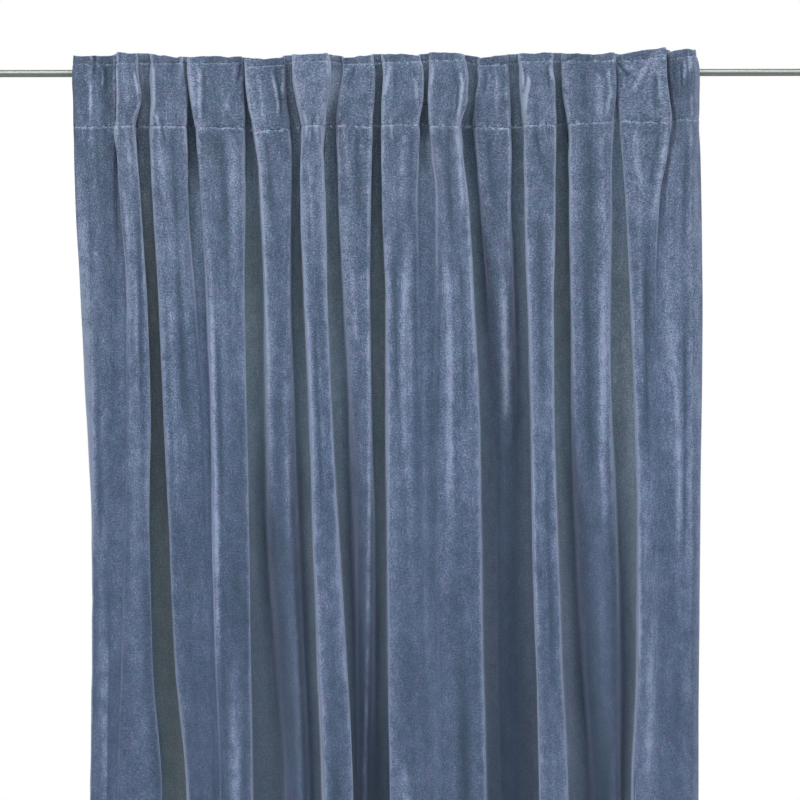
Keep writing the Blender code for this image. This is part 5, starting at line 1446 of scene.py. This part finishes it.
def studio():
    scene = bpy.context.scene
    scene.view_settings.view_transform = "Standard"
    scene.view_settings.look = "None"
    world = bpy.data.worlds.new("studio_white")
    scene.world = world
    world.use_nodes = True
    tree = world.node_tree
    background = tree.nodes["Background"]
    # the room's light: even from above and level, dimmer from low in front
    where = tree.nodes.new("ShaderNodeTexCoord").outputs["Generated"]
    split = tree.nodes.new("ShaderNodeSeparateXYZ")
    tree.links.new(where, split.inputs[0])
    height = tree.nodes.new("ShaderNodeValToRGB")
    tree.links.new(split.outputs["Z"], height.inputs["Fac"])
    shift = tree.nodes.new("ShaderNodeMath")
    shift.operation = "MULTIPLY_ADD"
    shift.inputs[1].default_value = 0.5
    shift.inputs[2].default_value = 0.5
    tree.links.new(split.outputs["Z"], shift.inputs[0])
    tree.links.new(shift.outputs[0], height.inputs["Fac"])
    ramp = height.color_ramp
    while len(ramp.elements) < 5:
        ramp.elements.new(0.5)
    for element, (at, v) in zip(ramp.elements, ((0.0, 0.75), (0.08, 0.30), (0.30, 0.30), (0.46, 0.95), (1.0, 1.0))):
        element.position = at
        element.color = (0.97 * v, 0.985 * v, v, 1.0)
    tree.links.new(height.outputs["Color"], background.inputs["Color"])
    background.inputs["Strength"].default_value = WORLD_LIGHT
    seen = tree.nodes.new("ShaderNodeBackground")
    seen.inputs["Color"].default_value = (1.0, 1.0, 1.0, 1.0)
    seen.inputs["Strength"].default_value = 1.0
    path = tree.nodes.new("ShaderNodeLightPath")
    both = tree.nodes.new("ShaderNodeMixShader")
    tree.links.new(path.outputs["Is Camera Ray"], both.inputs[0])
    tree.links.new(background.outputs[0], both.inputs[1])
    tree.links.new(seen.outputs[0], both.inputs[2])
    tree.links.new(both.outputs[0], tree.nodes["World Output"].inputs["Surface"])

    add_light("softbox_left", (-1.7, -2.6, 1.5), (0.0, 0.0, -0.10), (1.5, 1.5), 41.0, (1.0, 0.99, 0.97))
    add_light("softbox_right", (1.7, -2.6, 1.4), (0.0, 0.0, -0.10), (1.5, 1.5), 38.0, (0.98, 0.99, 1.0))
    add_light("softbox_top", (0.0, -1.5, 1.9), (0.0, 0.0, -0.2), (2.6, 1.0), 48.0, (1.0, 1.0, 1.0))
    add_light("softbox_back", (0.6, 2.6, 0.3), (0.0, 0.0, -0.9), (2.0, 2.4), 40.0, (1.0, 1.0, 1.0))

    camera = bpy.data.cameras.new("camera")
    camera.sensor_width = 36.0
    camera.lens = 36.0 * VIEW / (800 * UNIT)
    camera.clip_start, camera.clip_end = 0.1, 60.0
    obj = bpy.data.objects.new("camera", camera)
    scene.collection.objects.link(obj)
    obj.location = (EYE_X, -VIEW, EYE_Z)
    obj.rotation_euler = (math.radians(90), math.radians(ROLL), 0.0)
    scene.camera = obj

    z = cad_low[2] - 0.012
    points = [(-3, -3, z), (3, -3, z), (3, 2.2, z), (-3, 2.2, z)]
    floor = mesh_object("floor", points, [(0, 1, 2, 3)], (floor_material(),), smooth=False)
    floor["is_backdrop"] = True


WORLD_LIGHT = 0.44
ROLL = 0.09


def build():
    velvet, backing = velvet_material(), backing_material()
    tape_mat, thread, steel = tape_material(), thread_material(), steel_material()

    p, u, v, marks = detailed_cloth()
    cloth, front, back = cloth_object(p, u, v, marks, velvet, backing)
    n = facing(p)

    tape, near, far, levels = tape_object(back, tape_mat)

    # two rows of stitches through the heading, on the front and on the tape
    points, faces = [], []
    for row, sink, seed in ((SEAM_UP, 0.00020, 1), (SEAM_LOW, 0.00004, 2)):
        front_line, out = line_at_row(front, row), line_at_row(n, row)
        stitch_row(points, faces, front_line[4:-4], out[4:-4], 0.0037, 0.0026, 0.00062, sink, seed, 0.00075)
    for row, seed in ((SEAM_UP, 3), (SEAM_LOW, 4)):
        r = int(np.argmin(abs(levels - row)))
        t = np.clip((row - levels[0]) / (levels[-1] - levels[0]), 0, 1)
        line = np.array([[np.interp(row, levels, far[:, c, j]) for j in range(3)] for c in range(far.shape[1])])
        out = facing(far)[r] * -1.0
        stitch_row(points, faces, line, out, 0.0039, 0.0031, 0.00055, 0.00002, seed)
    heading_stitches = mesh_object("heading_stitches", points, faces, (thread,))

    points, faces = [], []
    for k, place in enumerate((SIDE_HEM * 0.86, CLOTH_WIDTH - SIDE_HEM * 0.86)):
        rows = np.nonzero(ROWS_AT > 66.0)[0]
        f = finer(line_at_flat(front, u, place)[rows])
        b = finer(line_at_flat(back, u, place)[rows])
        o = finer(line_at_flat(n, u, place)[rows])
        stitch_row(points, faces, f, o, 0.0046, 0.0034, 0.00050, 0.00030, 10 + k)
        stitch_row(points, faces, b, -o, 0.0046, 0.0034, 0.00050, 0.00010, 20 + k)
    row = 2177.5
    f, b, o = line_at_row(front, row), line_at_row(back, row + 0.5), line_at_row(n, row)
    stitch_row(points, faces, f[4:-4], o[4:-4], 0.0052, 0.0030, 0.00050, 0.00034, 31)
    stitch_row(points, faces, b[4:-4:2], -o[4:-4:2], 0.0052, 0.0034, 0.00050, 0.00010, 32)
    hem_stitches = mesh_object("hem_stitches", points, faces, (thread,))

    loops = []
    w = 0.5 * LOOP_WIDTH
    for k, (x_top, x_foot) in enumerate(seat_places(far, levels)):
        top_y = rear_of(far, x_top - w, x_top + w, 0.003, 0.0115) + 0.0003 + 0.5 * LOOP_THICK
        foot_y = rear_of(far, x_foot - w, x_foot + w, LOOP_FOOT_TOP - LOOP_FOOT - 0.002,
                         LOOP_FOOT_TOP + 0.002) + 0.0003 + 0.5 * LOOP_THICK
        name = "hanging_loop_%02d" % (k + 1)
        loop = loop_object("woven_loop_%02d" % (k + 1), x_top, x_foot, top_y, foot_y, tape_mat, 50 + k)
        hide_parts(name)
        loops.append(loop)

    rod = rod_object(steel)

    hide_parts("curtain_panel")
    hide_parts("heading_tape")
    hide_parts("rod")
    for piece, slot in ((cloth, "velvet"), (heading_stitches, "velvet"), (hem_stitches, "velvet"),
                        (tape, "tape"), (rod, "rod"), *((l, "tape") for l in loops)):
        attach(piece, "root")
    print("triangles:", {o.name: sum(len(f.vertices) - 2 for f in o.data.polygons)
                         for o in (cloth, tape, heading_stitches, hem_stitches, rod, loops[0])})


build()
studio()
